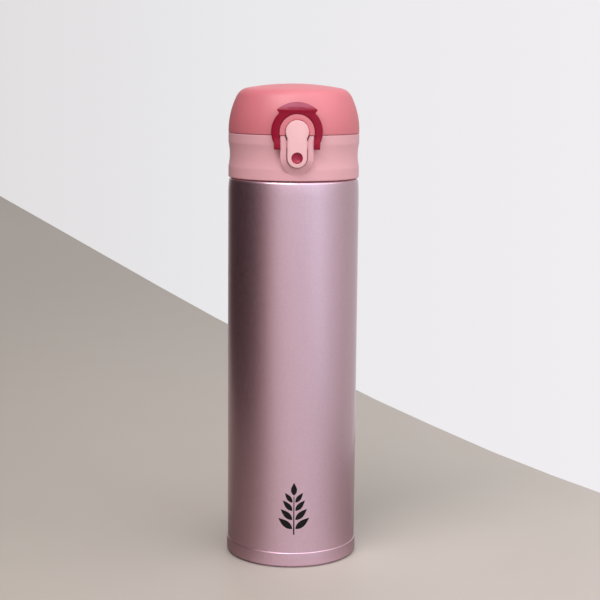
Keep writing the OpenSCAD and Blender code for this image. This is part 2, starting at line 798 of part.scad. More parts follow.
module button_dot() color("#90223b") {
    dish_r = (dot_d * dot_d / 4 + dot_dish * dot_dish) / (2 * dot_dish);
    difference() {
        front_slab(stem_y, face_y - run_clear) translate([0, dot_z]) circle(dot_d / 2 - run_clear / 2);
        translate([0, -face_y + run_clear - dish_r + dot_dish, dot_z]) sphere(dish_r);
    }
}

// The tab's side view: a slope for the thumb over a flat underside
module tab_profile() {
    top = tab_z0 + tab_h;
    polygon([[-ring_back + ring_t, tab_z0], [-ring_front, tab_z0], [-tab_front, tab_z0 + tab_h * 0.1],
             [-tab_front, tab_z0 + tab_h * 0.25], [-ring_back - ring_t / 2, top], [-ring_back + ring_t, top]]);
}

module lock_ring() color("#951f3a") {
    foot_z = latch_z - eye_d / 2;
    difference() {
        union() {
            intersection() {
                front_slab(ring_back / 2, ring_front + 1) difference() {
                    union() {
                        intersection() {
                            translate([0, ring_z]) circle(ring_out);
                            translate([-ring_out, latch_z]) square([2 * ring_out, 2 * ring_out]);
                        }
                        translate([-leg_x1, foot_z]) square([2 * leg_x1, ring_z - foot_z]);
                    }
                    translate([0, ring_z]) circle(ring_in);
                    translate([-leg_x0, foot_z - 1]) square([2 * leg_x0, latch_z - foot_z + 1]);
                    translate([-ring_in, latch_z]) square([ring_in_d, ring_z - latch_z]);
                }
                ring(ring_back, ring_front, latch_z, ring_z + 2 * ring_out);
            }
            both_sides() cross_rod(eye_d / 2, leg_x0, leg_x1, -latch_y, latch_z);
            intersection() {
                side_slab(-tab_r, tab_r) tab_profile();
                front_slab(ring_back / 2, tab_front + 1) translate([0, ring_z + tab_up]) circle(tab_r);
            }
        }
        translate([0, 0, tab_z0 - ring_out]) cylinder(r = ring_back, h = 3 * ring_out);
        cross_rod(latch_pin_d / 2 + run_clear, -pin_half - side_gap, pin_half + side_gap, -latch_y, latch_z);
    }
}

outer_shell();
inner_liner();
base_cup();
base_plate();
seal_bead();
getter();
heat_foil();
neck_gasket();
cap_collar();
cap_core();
spout();
spout_seal();
hinge_pin();
lid_spring();
latch_pin();
button_spring();
lid_cover();
lid_lining();
lid_gasket();
push_button();
button_dot();
lock_ring();
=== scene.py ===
# Flip-lid vacuum flask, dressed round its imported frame. Sizes are written in millimetres.
import bmesh
import bpy
import json
from math import acos, asin, atan, cos, degrees, hypot, pi, radians, sin, sqrt, tan
from mathutils import Matrix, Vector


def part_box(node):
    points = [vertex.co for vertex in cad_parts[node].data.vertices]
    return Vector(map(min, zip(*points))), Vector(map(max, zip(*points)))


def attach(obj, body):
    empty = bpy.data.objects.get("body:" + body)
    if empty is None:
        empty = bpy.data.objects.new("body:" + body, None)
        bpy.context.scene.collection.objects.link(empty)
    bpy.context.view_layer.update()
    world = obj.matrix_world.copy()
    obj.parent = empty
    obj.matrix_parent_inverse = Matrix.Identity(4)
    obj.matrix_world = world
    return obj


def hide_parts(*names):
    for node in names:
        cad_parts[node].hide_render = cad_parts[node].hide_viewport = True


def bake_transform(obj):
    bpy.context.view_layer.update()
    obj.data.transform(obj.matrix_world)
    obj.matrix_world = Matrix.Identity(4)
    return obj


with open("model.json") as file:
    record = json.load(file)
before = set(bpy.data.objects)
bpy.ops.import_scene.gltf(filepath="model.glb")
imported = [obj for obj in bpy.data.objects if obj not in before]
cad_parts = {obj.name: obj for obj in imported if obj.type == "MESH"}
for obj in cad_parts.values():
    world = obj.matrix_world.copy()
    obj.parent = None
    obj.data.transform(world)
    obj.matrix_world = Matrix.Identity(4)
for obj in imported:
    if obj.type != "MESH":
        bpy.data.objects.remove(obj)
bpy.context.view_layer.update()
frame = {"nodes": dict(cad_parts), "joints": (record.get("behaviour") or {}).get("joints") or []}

# Painted shell
# The body is a tube drawn from stainless steel sheet, with a rolled shoulder and a neck that carries the
# thread. It is sprayed with pearl pink paint up to the shoulder, and the neck is left bare.
MM = 0.001
merge_gap = 0.001 * MM


def span(node, axis):
    """Lowest and highest place of a CAD node along an axis, in millimetres."""
    low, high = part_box(node)
    return low["xyz".index(axis)] / MM, high["xyz".index(axis)] / MM


def arc(centre, radius, start, end, steps=10):
    """Points of a round stretch between two angles in degrees."""
    turns = [radians(start + (end - start) * i / steps) for i in range(steps + 1)]
    return [(centre[0] + radius * cos(a), centre[1] + radius * sin(a)) for a in turns]


def new_mesh(name):
    """A new mesh object with nothing in it, left in edit mode."""
    bpy.ops.object.select_all(action="DESELECT")
    bpy.ops.mesh.primitive_plane_add(size=MM)
    bpy.context.object.name = name
    bpy.ops.object.mode_set(mode="EDIT")
    bpy.ops.mesh.delete(type="VERT")
    return bpy.context.object


def trace(points):
    """Draws a chain of vertices through points in millimetres, from a plane shrunk to one vertex."""
    bpy.ops.mesh.select_all(action="DESELECT")
    bpy.ops.mesh.primitive_plane_add(size=MM)
    bpy.ops.mesh.merge(type="CENTER")
    bpy.ops.transform.translate(value=[c * MM for c in points[0]])
    for here, there in zip(points, points[1:]):
        step = [(b - a) * MM for a, b in zip(here, there)]
        bpy.ops.mesh.extrude_region_move(TRANSFORM_OT_translate={"value": step})


def close_mesh():
    """Merges doubled vertices and turns the faces outwards, in edit mode."""
    bpy.ops.mesh.select_all(action="SELECT")
    bpy.ops.mesh.remove_doubles(threshold=merge_gap)
    bpy.ops.mesh.normals_make_consistent(inside=False)


def shade(piece, angle=35):
    """Clears slivers and shades smooth, with a crease where faces meet at more than an angle in degrees."""
    bpy.ops.object.select_all(action="DESELECT")
    piece.select_set(True)
    bpy.context.view_layer.objects.active = piece
    bpy.ops.object.mode_set(mode="EDIT")
    close_mesh()
    bpy.ops.mesh.dissolve_degenerate(threshold=merge_gap)
    bpy.ops.object.mode_set(mode="OBJECT")
    bpy.ops.object.shade_smooth_by_angle(angle=radians(angle))
    return piece


def turned(name, outline, steps=192, height=None):
    """A solid spun from a closed outline of (radius, place along the axis) points. The axis is the flask's
    own, or a line from front to back at a given height."""
    if height is None:
        points, centre, axis = [(r, 0, z) for r, z in outline], (0, 0, 0), (0, 0, 1)
    else:
        points, centre, axis = [(r, y, height) for r, y in outline], (0, 0, height * MM), (0, 1, 0)
    piece = new_mesh(name)
    trace([*points, points[0]])
    bpy.ops.mesh.select_all(action="SELECT")
    bpy.ops.mesh.spin(steps=steps, angle=2 * pi, center=centre, axis=axis)
    close_mesh()
    bpy.ops.mesh.delete_loose()
    bpy.ops.object.mode_set(mode="OBJECT")
    return shade(piece)


def linear(code):
    """An sRGB hex colour as linear red, green, blue and alpha."""
    parts = [int(code[i:i + 2], 16) / 255 for i in (0, 2, 4)]
    return [p / 12.92 if p <= 0.04045 else ((p + 0.055) / 1.055) ** 2.4 for p in parts] + [1]


def add(tree, kind, sockets, **settings):
    """Adds a node with its settings, and sets or links its sockets by name or number."""
    node = tree.nodes.new("ShaderNode" + kind)
    for name, value in settings.items():
        setattr(node, name, value)
    for socket, value in sockets.items():
        if isinstance(value, bpy.types.NodeSocket):
            tree.links.new(value, node.inputs[socket])
        else:
            node.inputs[socket].default_value = value
    return node


def material(name):
    """A new material, with its node tree, its shader and the place on the piece that patterns read."""
    made = bpy.data.materials.new(name)
    made.use_nodes = True
    tree = made.node_tree
    return made, tree, tree.nodes["Principled BSDF"], add(tree, "TexCoord", {}).outputs["Object"]


def coat(piece, *made):
    """Gives a piece its materials, in the order of their slots."""
    piece.data.materials.clear()
    for each in made:
        piece.data.materials.append(each)


# Pearl paint: fine mica flakes give a soft metal glow and a faint sparkle, the clear lacquer over them shines
# where it is seen aslant, and the sprayed coat has a slight orange peel. Real flakes are about 0.05 mm, and
# they are drawn at 0.35 mm so that they show.
pearl, tree, shader, place = material("pearl_lacquer_on_steel")
flakes = add(tree, "TexVoronoi", {"Vector": place, "Scale": 1 / (0.35 * MM)}).outputs["Color"]
flake_share = add(tree, "SeparateColor", {"Color": flakes}).outputs["Red"]
flake_tones = {6: linear("e3c0d0"), 7: linear("ebcadb")}
tone = add(tree, "Mix", {0: flake_share, **flake_tones}, data_type="RGBA").outputs[2]
peel = add(tree, "TexNoise", {"Vector": place, "Scale": 1 / (2.2 * MM), "Detail": 2}).outputs["Fac"]
rough = add(tree, "MapRange", {"Value": flake_share, "To Min": 0.36, "To Max": 0.44}).outputs["Result"]
skin_bump = add(tree, "Bump", {"Height": peel, "Strength": 0.12, "Distance": 0.03 * MM}).outputs["Normal"]
tree.links.new(tone, shader.inputs["Base Color"])
tree.links.new(rough, shader.inputs["Roughness"])
tree.links.new(skin_bump, shader.inputs["Normal"])
shader.inputs["Metallic"].default_value = 1
shader.inputs["Coat Weight"].default_value = 0.8
shader.inputs["Coat Roughness"].default_value = 0.15

# Bare stainless steel, turned on a lathe: fine rings round the axis, 0.1 mm apart and drawn at 0.3 mm.
steel, tree, shader, place = material("stainless_steel_turned")
rings = add(tree, "Mapping", {"Vector": place, "Scale": (15, 15, 1 / (0.3 * MM))}).outputs["Vector"]
lines = add(tree, "TexNoise", {"Vector": rings, "Scale": 1, "Detail": 3}).outputs["Fac"]
rough = add(tree, "MapRange", {"Value": lines, "To Min": 0.2, "To Max": 0.42}).outputs["Result"]
ring_bump = add(tree, "Bump", {"Height": lines, "Strength": 0.15, "Distance": 0.01 * MM}).outputs["Normal"]
tree.links.new(rough, shader.inputs["Roughness"])
tree.links.new(ring_bump, shader.inputs["Normal"])
shader.inputs["Base Color"].default_value = linear("cfcdca")
shader.inputs["Metallic"].default_value = 1

fine_sides = 256
body_r = span("outer_shell", "x")[1]
shell_foot, lip_z = span("outer_shell", "z")
collar_foot = span("cap_collar", "z")[0]
shoulder_z = collar_foot - 0.8
shoulder_round = 1.6
sheet = 0.6
neck_r = 26.55
neck_fillet = 0.6
brim_z = shoulder_z + 0.55
draw_in, draw_h, draw_steps = 0.4, 6.5, 10
draw_angle = degrees(atan(2 * draw_in / draw_h))
shoulder_c = (body_r - draw_in - shoulder_round * cos(radians(draw_angle)), brim_z - shoulder_round)
draw_z = shoulder_c[1] + shoulder_round * sin(radians(draw_angle)) - draw_h
drawn_side = [(body_r - draw_in * (i / draw_steps) ** 2, draw_z + draw_h * i / draw_steps)
              for i in range(draw_steps)]
shell = turned("painted_shell", [
    (body_r - sheet, shell_foot), (body_r, shell_foot), *drawn_side,
    *arc(shoulder_c, shoulder_round, draw_angle, 90),
    *arc((neck_r + neck_fillet, brim_z + neck_fillet), neck_fillet, 270, 180, 6),
    (neck_r, lip_z), (neck_r - sheet, lip_z), (neck_r - sheet, brim_z - sheet),
    *arc(shoulder_c, shoulder_round - sheet, 90, draw_angle, 6), (body_r - sheet, draw_z),
], fine_sides)


def thread(name, root, crest, low, turns=1, pitch=4, width=2, steps=72, run_out=7):
    """One ridge of a right-hand screw thread, with ends that run out. A crest inside the root is a nut's."""
    ridge = new_mesh(name)
    section = [(root, -width / 2), (crest, -width / 4), (crest, width / 4), (root, width / 2)]
    trace([(r, 0, low + up) for r, up in [*section, section[0]]])
    close_mesh()
    bpy.ops.object.mode_set(mode="OBJECT")
    wind = ridge.modifiers.new("wind", "SCREW")
    wind.angle, wind.screw_offset = 2 * pi * turns, pitch * turns * MM
    wind.steps = wind.render_steps = steps
    bpy.ops.object.modifier_apply(modifier=wind.name)
    for i, point in enumerate(ridge.data.vertices):
        station = i // len(section)
        fade = min(1, (station + 0.5) / run_out, (steps - station + 0.5) / run_out)
        far = hypot(point.co.x, point.co.y)
        new = root * MM + (far - root * MM) * fade
        point.co.x, point.co.y = point.co.x * new / far, point.co.y * new / far
    bpy.ops.object.mode_set(mode="EDIT")
    for end in (0, steps):
        bpy.ops.mesh.select_all(action="DESELECT")
        mesh = bmesh.from_edit_mesh(ridge.data)
        mesh.verts.ensure_lookup_table()
        for i in range(len(section)):
            mesh.verts[end * len(section) + i].select_set(True)
        bmesh.update_edit_mesh(ridge.data)
        bpy.ops.mesh.edge_face_add()
    close_mesh()
    bpy.ops.object.mode_set(mode="OBJECT")
    return shade(ridge)


def join(piece, *others):
    """Makes one object of several."""
    bpy.ops.object.select_all(action="DESELECT")
    for part in (piece, *others):
        part.select_set(True)
    bpy.context.view_layer.objects.active = piece
    bpy.ops.object.join()
    return piece


thread_z = shoulder_z + 6
thread_root, thread_crest = neck_r - 0.3, neck_r + 1.2
join(shell, thread("neck_thread", thread_root, thread_crest, thread_z))
coat(shell, pearl, steel)
paint_top = brim_z + 0.2
paint_inside = neck_r - 0.4
for face in shell.data.polygons:
    bare = face.center.z > paint_top * MM or hypot(*face.center[:2]) < paint_inside * MM
    face.material_index = int(bare)
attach(shell, "bottle")
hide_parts("outer_shell")

# Foot cup
# A shallow cup pressed from the same sheet closes the body and carries the ring that the flask stands on.
# It is welded to the shell and painted with it, and a small step shows where the two meet.
foot_r = span("base_cup", "x")[1]
foot_top = span("base_cup", "z")[1]
foot_step = foot_r - body_r
foot_round = 0.8
stand_r1 = foot_r - 1.4
stand_r0 = stand_r1 - 4
stand_h, stand_lean = 0.65, 0.1
hollow = 1.8
port_r = 1.5
foot = turned("foot_cup", [
    (port_r, hollow), (stand_r0 - hollow, hollow),
    *arc((stand_r0, foot_round), foot_round, 180, 270, 6),
    (stand_r1, 0), (stand_r1 + stand_lean, stand_h),
    *arc((foot_r - foot_round, stand_h + foot_round), foot_round, 270, 360),
    *arc((foot_r - foot_step, foot_top - foot_step), foot_step, 0, 90, 6),
    (body_r - sheet, foot_top), (body_r - sheet, stand_h + foot_round + sheet),
    (stand_r1 - sheet / 2, stand_h + sheet), (stand_r0 + sheet / 2, sheet),
    (stand_r0 - hollow + sheet / 2, hollow + sheet), (port_r, hollow + sheet),
], fine_sides)
coat(foot, pearl)
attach(foot, "bottle")
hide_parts("base_cup")

# Base disc, seal bead, getter and foil
# A stainless disc is glued into the hollow of the foot over the vacuum port, which a bead of braze metal
# closes. In the vacuum, a getter pellet binds stray gas and a copper foil round the liner throws heat back.

# Braze metal: a dull grey skin with frozen ripples, 0.8 mm apart.
braze, tree, shader, place = material("braze_metal")
blobs = add(tree, "TexNoise", {"Vector": place, "Scale": 1 / (0.8 * MM), "Detail": 4}).outputs["Fac"]
rough = add(tree, "MapRange", {"Value": blobs, "To Min": 0.3, "To Max": 0.6}).outputs["Result"]
blob_bump = add(tree, "Bump", {"Height": blobs, "Strength": 0.4, "Distance": 0.05 * MM}).outputs["Normal"]
tree.links.new(rough, shader.inputs["Roughness"])
tree.links.new(blob_bump, shader.inputs["Normal"])
shader.inputs["Base Color"].default_value = linear("a3a19b")
shader.inputs["Metallic"].default_value = 1

# Getter alloy: a dark pressed powder with a rough grain of about 0.15 mm.
pellet, tree, shader, place = material("getter_alloy_pressed")
grit = add(tree, "TexNoise", {"Vector": place, "Scale": 1 / (0.15 * MM), "Detail": 3}).outputs["Fac"]
tone = add(tree, "Mix", {0: grit, 6: linear("5f5f61"), 7: linear("85858a")}, data_type="RGBA").outputs[2]
grit_bump = add(tree, "Bump", {"Height": grit, "Strength": 0.5, "Distance": 0.04 * MM}).outputs["Normal"]
tree.links.new(tone, shader.inputs["Base Color"])
tree.links.new(grit_bump, shader.inputs["Normal"])
shader.inputs["Metallic"].default_value = 0.6
shader.inputs["Roughness"].default_value = 0.7

# Copper foil: bright rolled metal with soft crinkles, about 6 mm apart.
copper, tree, shader, place = material("copper_foil_rolled")
crinkle = add(tree, "TexNoise", {"Vector": place, "Scale": 1 / (6 * MM), "Detail": 4}).outputs["Fac"]
rough = add(tree, "MapRange", {"Value": crinkle, "To Min": 0.15, "To Max": 0.35}).outputs["Result"]
crease = add(tree, "Bump", {"Height": crinkle, "Strength": 0.4, "Distance": 0.2 * MM}).outputs["Normal"]
tree.links.new(rough, shader.inputs["Roughness"])
tree.links.new(crease, shader.inputs["Normal"])
shader.inputs["Base Color"].default_value = linear("d9976c")
shader.inputs["Metallic"].default_value = 1
coat(frame["nodes"]["base_plate"], steel)
coat(frame["nodes"]["seal_bead"], braze)
coat(frame["nodes"]["getter"], pellet)
coat(frame["nodes"]["heat_foil"], copper)

# Printed sprig
# A small leafy sprig is screen-printed in black ink on the paint above the foot, through a stencil with an
# opening for the stalk and for each leaf. The ink cures to a thin matt film.


def round_rim(piece, axis, places, radius, steps=3):
    """Rounds the sharp edges of the flat faces that lie at given places along an axis, in edit mode."""
    bpy.ops.mesh.select_mode(type="EDGE")
    bpy.ops.mesh.select_all(action="DESELECT")
    column = "xyz".index(axis)
    mesh = bmesh.from_edit_mesh(piece.data)
    for edge in mesh.edges:
        on_face = any(all(abs(v.co[column] - p * MM) < merge_gap for v in edge.verts) for p in places)
        edge.select_set(on_face and edge.calc_face_angle(0) > radians(40))
    bmesh.update_edit_mesh(piece.data)
    bpy.ops.mesh.bevel(offset=radius * MM, segments=steps, affect="EDGES", clamp_overlap=False)
    bpy.ops.mesh.select_mode(type="VERT")


def slab(name, outline, axis, low, high, rounded=0, ends=None):
    """A flat outline, seen from the front (axis y) or the side (axis x), filled between two places."""
    lay = {"y": lambda u, v: (u, low, v), "x": lambda u, v: (low, u, v)}[axis]
    piece = new_mesh(name)
    trace([lay(u, v) for u, v in [*outline, outline[0]]])
    close_mesh()
    bpy.ops.mesh.edge_face_add()
    depth = [(high - low) * MM if letter == axis else 0 for letter in "xyz"]
    bpy.ops.mesh.extrude_region_move(TRANSFORM_OT_translate={"value": depth})
    close_mesh()
    if rounded:
        round_rim(piece, axis, ends or [low, high], rounded)
    bpy.ops.object.mode_set(mode="OBJECT")
    return shade(piece)


def combine(piece, tool, how):
    """Joins a tool to a piece (UNION), cuts it out (DIFFERENCE) or keeps what both share (INTERSECT)."""
    step = piece.modifiers.new(how, "BOOLEAN")
    step.operation = how
    step.solver = "MANIFOLD"
    step.object = tool
    bpy.context.view_layer.objects.active = piece
    bpy.ops.object.modifier_apply(modifier=step.name)
    bpy.data.objects.remove(tool)
    return piece


def oblong(left, right, low, high):
    """Outline of a rectangle, between two places each way."""
    return [(left, low), (right, low), (right, high), (left, high)]


def leaf(base, lean, length, width, steps=12, belly=0.8):
    """Outline of a pointed leaf, from its base, leaning from upright by an angle in degrees."""
    rows = [(width / 2 * sin(pi * (i / steps) ** belly), length * i / steps) for i in range(1, steps)]
    left = [(-w, u) for w, u in rows]
    shape = [(0, 0), *left, (0, length), *reversed(rows)]
    c, s = cos(radians(lean)), sin(radians(lean))
    return [(base[0] + w * c + u * s, base[1] - w * s + u * c) for w, u in shape]


# Matt screen ink: nearly black, with a faint unevenness from the mesh, 0.3 mm apart.
ink, tree, shader, place = material("screen_ink_black")
mesh_mark = add(tree, "TexNoise", {"Vector": place, "Scale": 1 / (0.3 * MM), "Detail": 2}).outputs["Fac"]
tone = add(tree, "Mix", {0: mesh_mark, 6: linear("0d0a0b"), 7: linear("171214")}, data_type="RGBA").outputs[2]
rough = add(tree, "MapRange", {"Value": mesh_mark, "To Min": 0.5, "To Max": 0.7}).outputs["Result"]
tree.links.new(tone, shader.inputs["Base Color"])
tree.links.new(rough, shader.inputs["Roughness"])
shader.inputs["Specular IOR Level"].default_value = 0.2

film = 0.03
past = 1
stalk_z0, stalk_z1 = 17, 36.5
stalk_w0, stalk_w1 = 0.35, 0.2
stalk = [(-stalk_w0, stalk_z0), (stalk_w0, stalk_z0), (stalk_w1, stalk_z1), (-stalk_w1, stalk_z1)]
top_leaf = leaf((0, stalk_z1 + 0.5), 0, 6.4, 3)
leaf_length, leaf_width, leaf_lean, leaf_gap = 8.8, 3.3, 52, 0.75
shapes = [stalk, top_leaf]
for i, z in enumerate((20, 24.6, 29.2, 33.4)):
    size = 1 - 0.1 * i
    lean = leaf_lean - 5 * i
    for side in (-1, 1):
        shapes.append(leaf((side * leaf_gap, z), side * lean, leaf_length * size, leaf_width * size))
ink_z0, ink_z1 = stalk_z0 - 2, stalk_z1 + 9
ink_film = oblong(body_r - film, body_r + film, ink_z0, ink_z1)
prints = []
for shape in shapes:
    layer = turned("ink", ink_film, fine_sides)
    prints.append(combine(layer, slab("stencil", shape, "y", -body_r - past, -body_r / 2), "INTERSECT"))
sprig = shade(join(*prints))
sprig.name = "printed_sprig"
coat(sprig, ink)
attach(sprig, "bottle")

# Inner liner
# The vessel for the drink is a second stainless tube, drawn in at the neck and folded over at its lip, where
# it is welded to the shell's neck. The space between the two tubes is pumped empty.


def eased(outline, radius, steps=3, most=0.4):
    """An outline with every corner rounded, apart from those on the axis. A corner takes up at most a share
    of the side next to it."""
    points = []
    for i, (u, v) in enumerate(outline):
        ends = [outline[i - 1], outline[(i + 1) % len(outline)]]
        if u == 0:
            points.append((u, v))
            continue
        reach = [(a - u, b - v, hypot(a - u, b - v)) for a, b in ends]
        cut = [min(radius, far * most) / far for a, b, far in reach]
        (u0, v0), (u1, v1) = [(u + a * c, v + b * c) for (a, b, far), c in zip(reach, cut)]
        for k in range(steps + 1):
            t = k / steps
            points.append(((1 - t) ** 2 * u0 + 2 * t * (1 - t) * u + t ** 2 * u1,
                           (1 - t) ** 2 * v0 + 2 * t * (1 - t) * v + t ** 2 * v1))
    return points


liner_r = span("inner_liner", "x")[1]
liner_z0, neck_top = span("inner_liner", "z")
neck_gap = 0.9
neck_out = neck_r - sheet - neck_gap
neck_in = neck_out - sheet
slope_z1 = shoulder_z - sheet - 2.3
slope_z0 = slope_z1 - 8
corner = 5
corner_c = (liner_r - corner, liner_z0 + corner)
fold = 0.2
liner = turned("steel_liner", [
    (0, liner_z0), *arc(corner_c, corner, -90, 0), (liner_r, slope_z0), (neck_out, slope_z1),
    (neck_out, lip_z), (neck_r, lip_z), (neck_r, neck_top - fold), (neck_r - fold, neck_top),
    (neck_in + fold, neck_top), (neck_in, neck_top - fold), (neck_in, slope_z1 - sheet / 2),
    (liner_r - sheet, slope_z0 - sheet / 2), *arc(corner_c, corner - sheet, 0, -90), (0, liner_z0 + sheet),
])
coat(liner, steel)
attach(liner, "bottle")
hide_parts("inner_liner")

# Neck gasket
# A ring moulded from pale silicone, with two soft lips that seal the neck. It is stretched into the groove of
# the cap's plug and rises with the cap.

# Silicone: pale soft rubber with a satin skin and a trace of dust, in specks of about 0.6 mm.
silicone, tree, shader, place = material("silicone_rubber")
dust = add(tree, "TexNoise", {"Vector": place, "Scale": 1 / (0.6 * MM), "Detail": 3}).outputs["Fac"]
tone = add(tree, "Mix", {0: dust, 6: linear("c6c2bc"), 7: linear("d5d2cd")}, data_type="RGBA").outputs[2]
rough = add(tree, "MapRange", {"Value": dust, "To Min": 0.42, "To Max": 0.6}).outputs["Result"]
soft_bump = add(tree, "Bump", {"Height": dust, "Strength": 0.08, "Distance": 0.02 * MM}).outputs["Normal"]
tree.links.new(tone, shader.inputs["Base Color"])
tree.links.new(rough, shader.inputs["Roughness"])
tree.links.new(soft_bump, shader.inputs["Normal"])

round_sides = 128
seal_r = span("neck_gasket", "x")[1]
seal_z0, seal_z1 = span("neck_gasket", "z")
seal_in = 22.5
seal_mid = seal_r - 0.72
seal_round = 0.2
lip_step = (seal_z1 - seal_z0) / 6
gasket = turned("neck_gasket_ring", eased([
    (seal_in, seal_z0), (seal_mid, seal_z0), (seal_r, seal_z0 + lip_step), (seal_r, seal_z0 + 2 * lip_step),
    (seal_mid, seal_z0 + 3 * lip_step), (seal_r, seal_z1 - 2 * lip_step), (seal_r, seal_z1 - lip_step),
    (seal_mid, seal_z1), (seal_in, seal_z1),
], seal_round), round_sides)
coat(gasket, silicone)
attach(gasket, "neck_seal")
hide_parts("neck_gasket")

# Cap core
# The inside of the cap is moulded in white plastic: a skirt with the thread, a web that closes the neck and a
# plug with a groove for the gasket. The collar is welded over it.


def moulded(name, colour, matt=0.42, drift=0.94, sheen=0.2):
    """Moulded plastic: an even colour with a slow drift from the melt, and the fine grain of an eroded mould,
    which is about 0.1 mm and is drawn at 0.45 mm so that it shows."""
    made, tree, shader, place = material(name)
    flow = add(tree, "TexNoise", {"Vector": place, "Scale": 1 / (14 * MM), "Detail": 2}).outputs["Fac"]
    grain = add(tree, "TexNoise", {"Vector": place, "Scale": 1 / (0.45 * MM), "Detail": 3}).outputs["Fac"]
    full = linear(colour)
    deep = [c * drift for c in full[:3]] + [1]
    tone = add(tree, "Mix", {0: flow, 6: deep, 7: full}, data_type="RGBA").outputs[2]
    dull, bright = matt + 0.07, matt - 0.05
    rough = add(tree, "MapRange", {"Value": grain, "To Min": bright, "To Max": dull}).outputs["Result"]
    bump = add(tree, "Bump", {"Height": grain, "Strength": 0.06, "Distance": 0.03 * MM}).outputs["Normal"]
    tree.links.new(tone, shader.inputs["Base Color"])
    tree.links.new(rough, shader.inputs["Roughness"])
    tree.links.new(bump, shader.inputs["Normal"])
    shader.inputs["Specular IOR Level"].default_value = sheen
    return made


white = moulded("polypropylene_white", "ddd5d1")
core_r = span("cap_core", "x")[1]
web_z1 = span("cap_core", "z")[1]
web_z0 = web_z1 - 1.9
skirt_in = core_r - 2
skirt_z0 = collar_foot + 1
plug_r = neck_in - 0.8
plug_in = plug_r - 2
plug_z0 = seal_z0 - 0.65
groove_r = seal_in - 0.05
groove_z0, groove_z1 = plug_z0 + 0.6, plug_z0 + 3.6
hole_r, seat_r = 13.4, 14.9
seat_z = web_z1 - 1.5
core_round = 0.25
core = turned("cap_core_moulding", eased([
    (skirt_in, skirt_z0), (core_r, skirt_z0), (core_r, web_z1), (seat_r, web_z1), (seat_r, seat_z),
    (hole_r, seat_z), (hole_r, web_z0), (plug_in, web_z0), (plug_in, plug_z0), (plug_r, plug_z0),
    (plug_r, groove_z0), (groove_r, groove_z0), (groove_r, groove_z1), (plug_r, groove_z1),
    (plug_r, web_z0), (skirt_in, web_z0),
], core_round), round_sides)
nut_root, nut_crest = skirt_in + 0.5, neck_r + 0.4
half_pitch = 2
join(core, thread("core_thread", nut_root, nut_crest, thread_z - half_pitch))
coat(core, white)
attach(core, "cap")
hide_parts("cap_core")

# Spout
# The drinking spout is moulded in white plastic with a round lip. Its flange is held between the core's web
# and the collar's deck, over a square silicone seal.


def climb(radius, low, high, step=0.7):
    """Points up an upright wall, close enough for a later cut to leave its shading smooth."""
    count = max(1, round(abs(high - low) / step))
    return [(radius, low + (high - low) * i / count) for i in range(1, count)]


spout_z0, spout_top = span("spout", "z")
bore_r, lip_r, spout_foot, flange_r = 11, 13.2, 15, 18
deck_low = web_z1 + 1.6
deck_top = deck_low + 1.5
spout_round = (lip_r - bore_r) / 2
spout_step = deck_top + 0.3
spout = turned("drinking_spout", [
    (bore_r, spout_z0), (lip_r, spout_z0), (lip_r, web_z1), (flange_r, web_z1), (flange_r, deck_low),
    (spout_foot, deck_low), (spout_foot, spout_step),
    *arc((lip_r - spout_round, spout_top - spout_round), spout_round, 0, 180, 12),
    *climb(bore_r, spout_top - spout_round, spout_z0, 3),
], round_sides)
coat(spout, white)
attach(spout, "cap")
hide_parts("spout")
coat(frame["nodes"]["spout_seal"], silicone)

# Cap collar
# The collar is moulded in pale pink plastic, with a waist, a boss for the button at the front and two hinge
# ears at the back. It is welded over the core, and the latch pin and the hinge pin are pressed into it.


def band(name, outer, inner, back, front, rounded):
    """A strip between two rows of (x, z) points, drawn flat as seen from the front and given its depth."""
    piece = new_mesh(name)
    for row in (outer, inner):
        trace([(x, back, z) for x, z in row])
    bpy.ops.mesh.select_all(action="SELECT")
    bpy.ops.mesh.bridge_edge_loops()
    bpy.ops.mesh.select_all(action="SELECT")
    bpy.ops.mesh.extrude_region_move(TRANSFORM_OT_translate={"value": (0, (front - back) * MM, 0)})
    close_mesh()
    round_rim(piece, "y", [front], rounded)
    bpy.ops.object.mode_set(mode="OBJECT")
    return shade(piece)


def reshape(piece, rule):
    """Moves each point of a piece along y, to where a rule of its x, y and z puts it in millimetres."""
    for point in piece.data.vertices:
        point.co.y = MM * rule(*(c / MM for c in point.co))
    return shade(piece)


def rod(name, radius, low, high, y, z, rounded=0, sides=64):
    """A round rod across the flask, between two places along x."""
    return slab(name, arc((y, z), radius, 0, 360 - 360 / sides, sides - 1), "x", low, high, rounded)


def sweep(wall, tip, steps=12):
    """Points of a hollow curve that leaves an upright wall and ends at a tip out from it."""
    out, up = tip[0] - wall[0], tip[1] - wall[1]
    radius = (out ** 2 + up ** 2) / (2 * out)
    return arc((wall[0] + radius, wall[1]), radius, 180, 180 - degrees(atan(up / (radius - out))), steps)


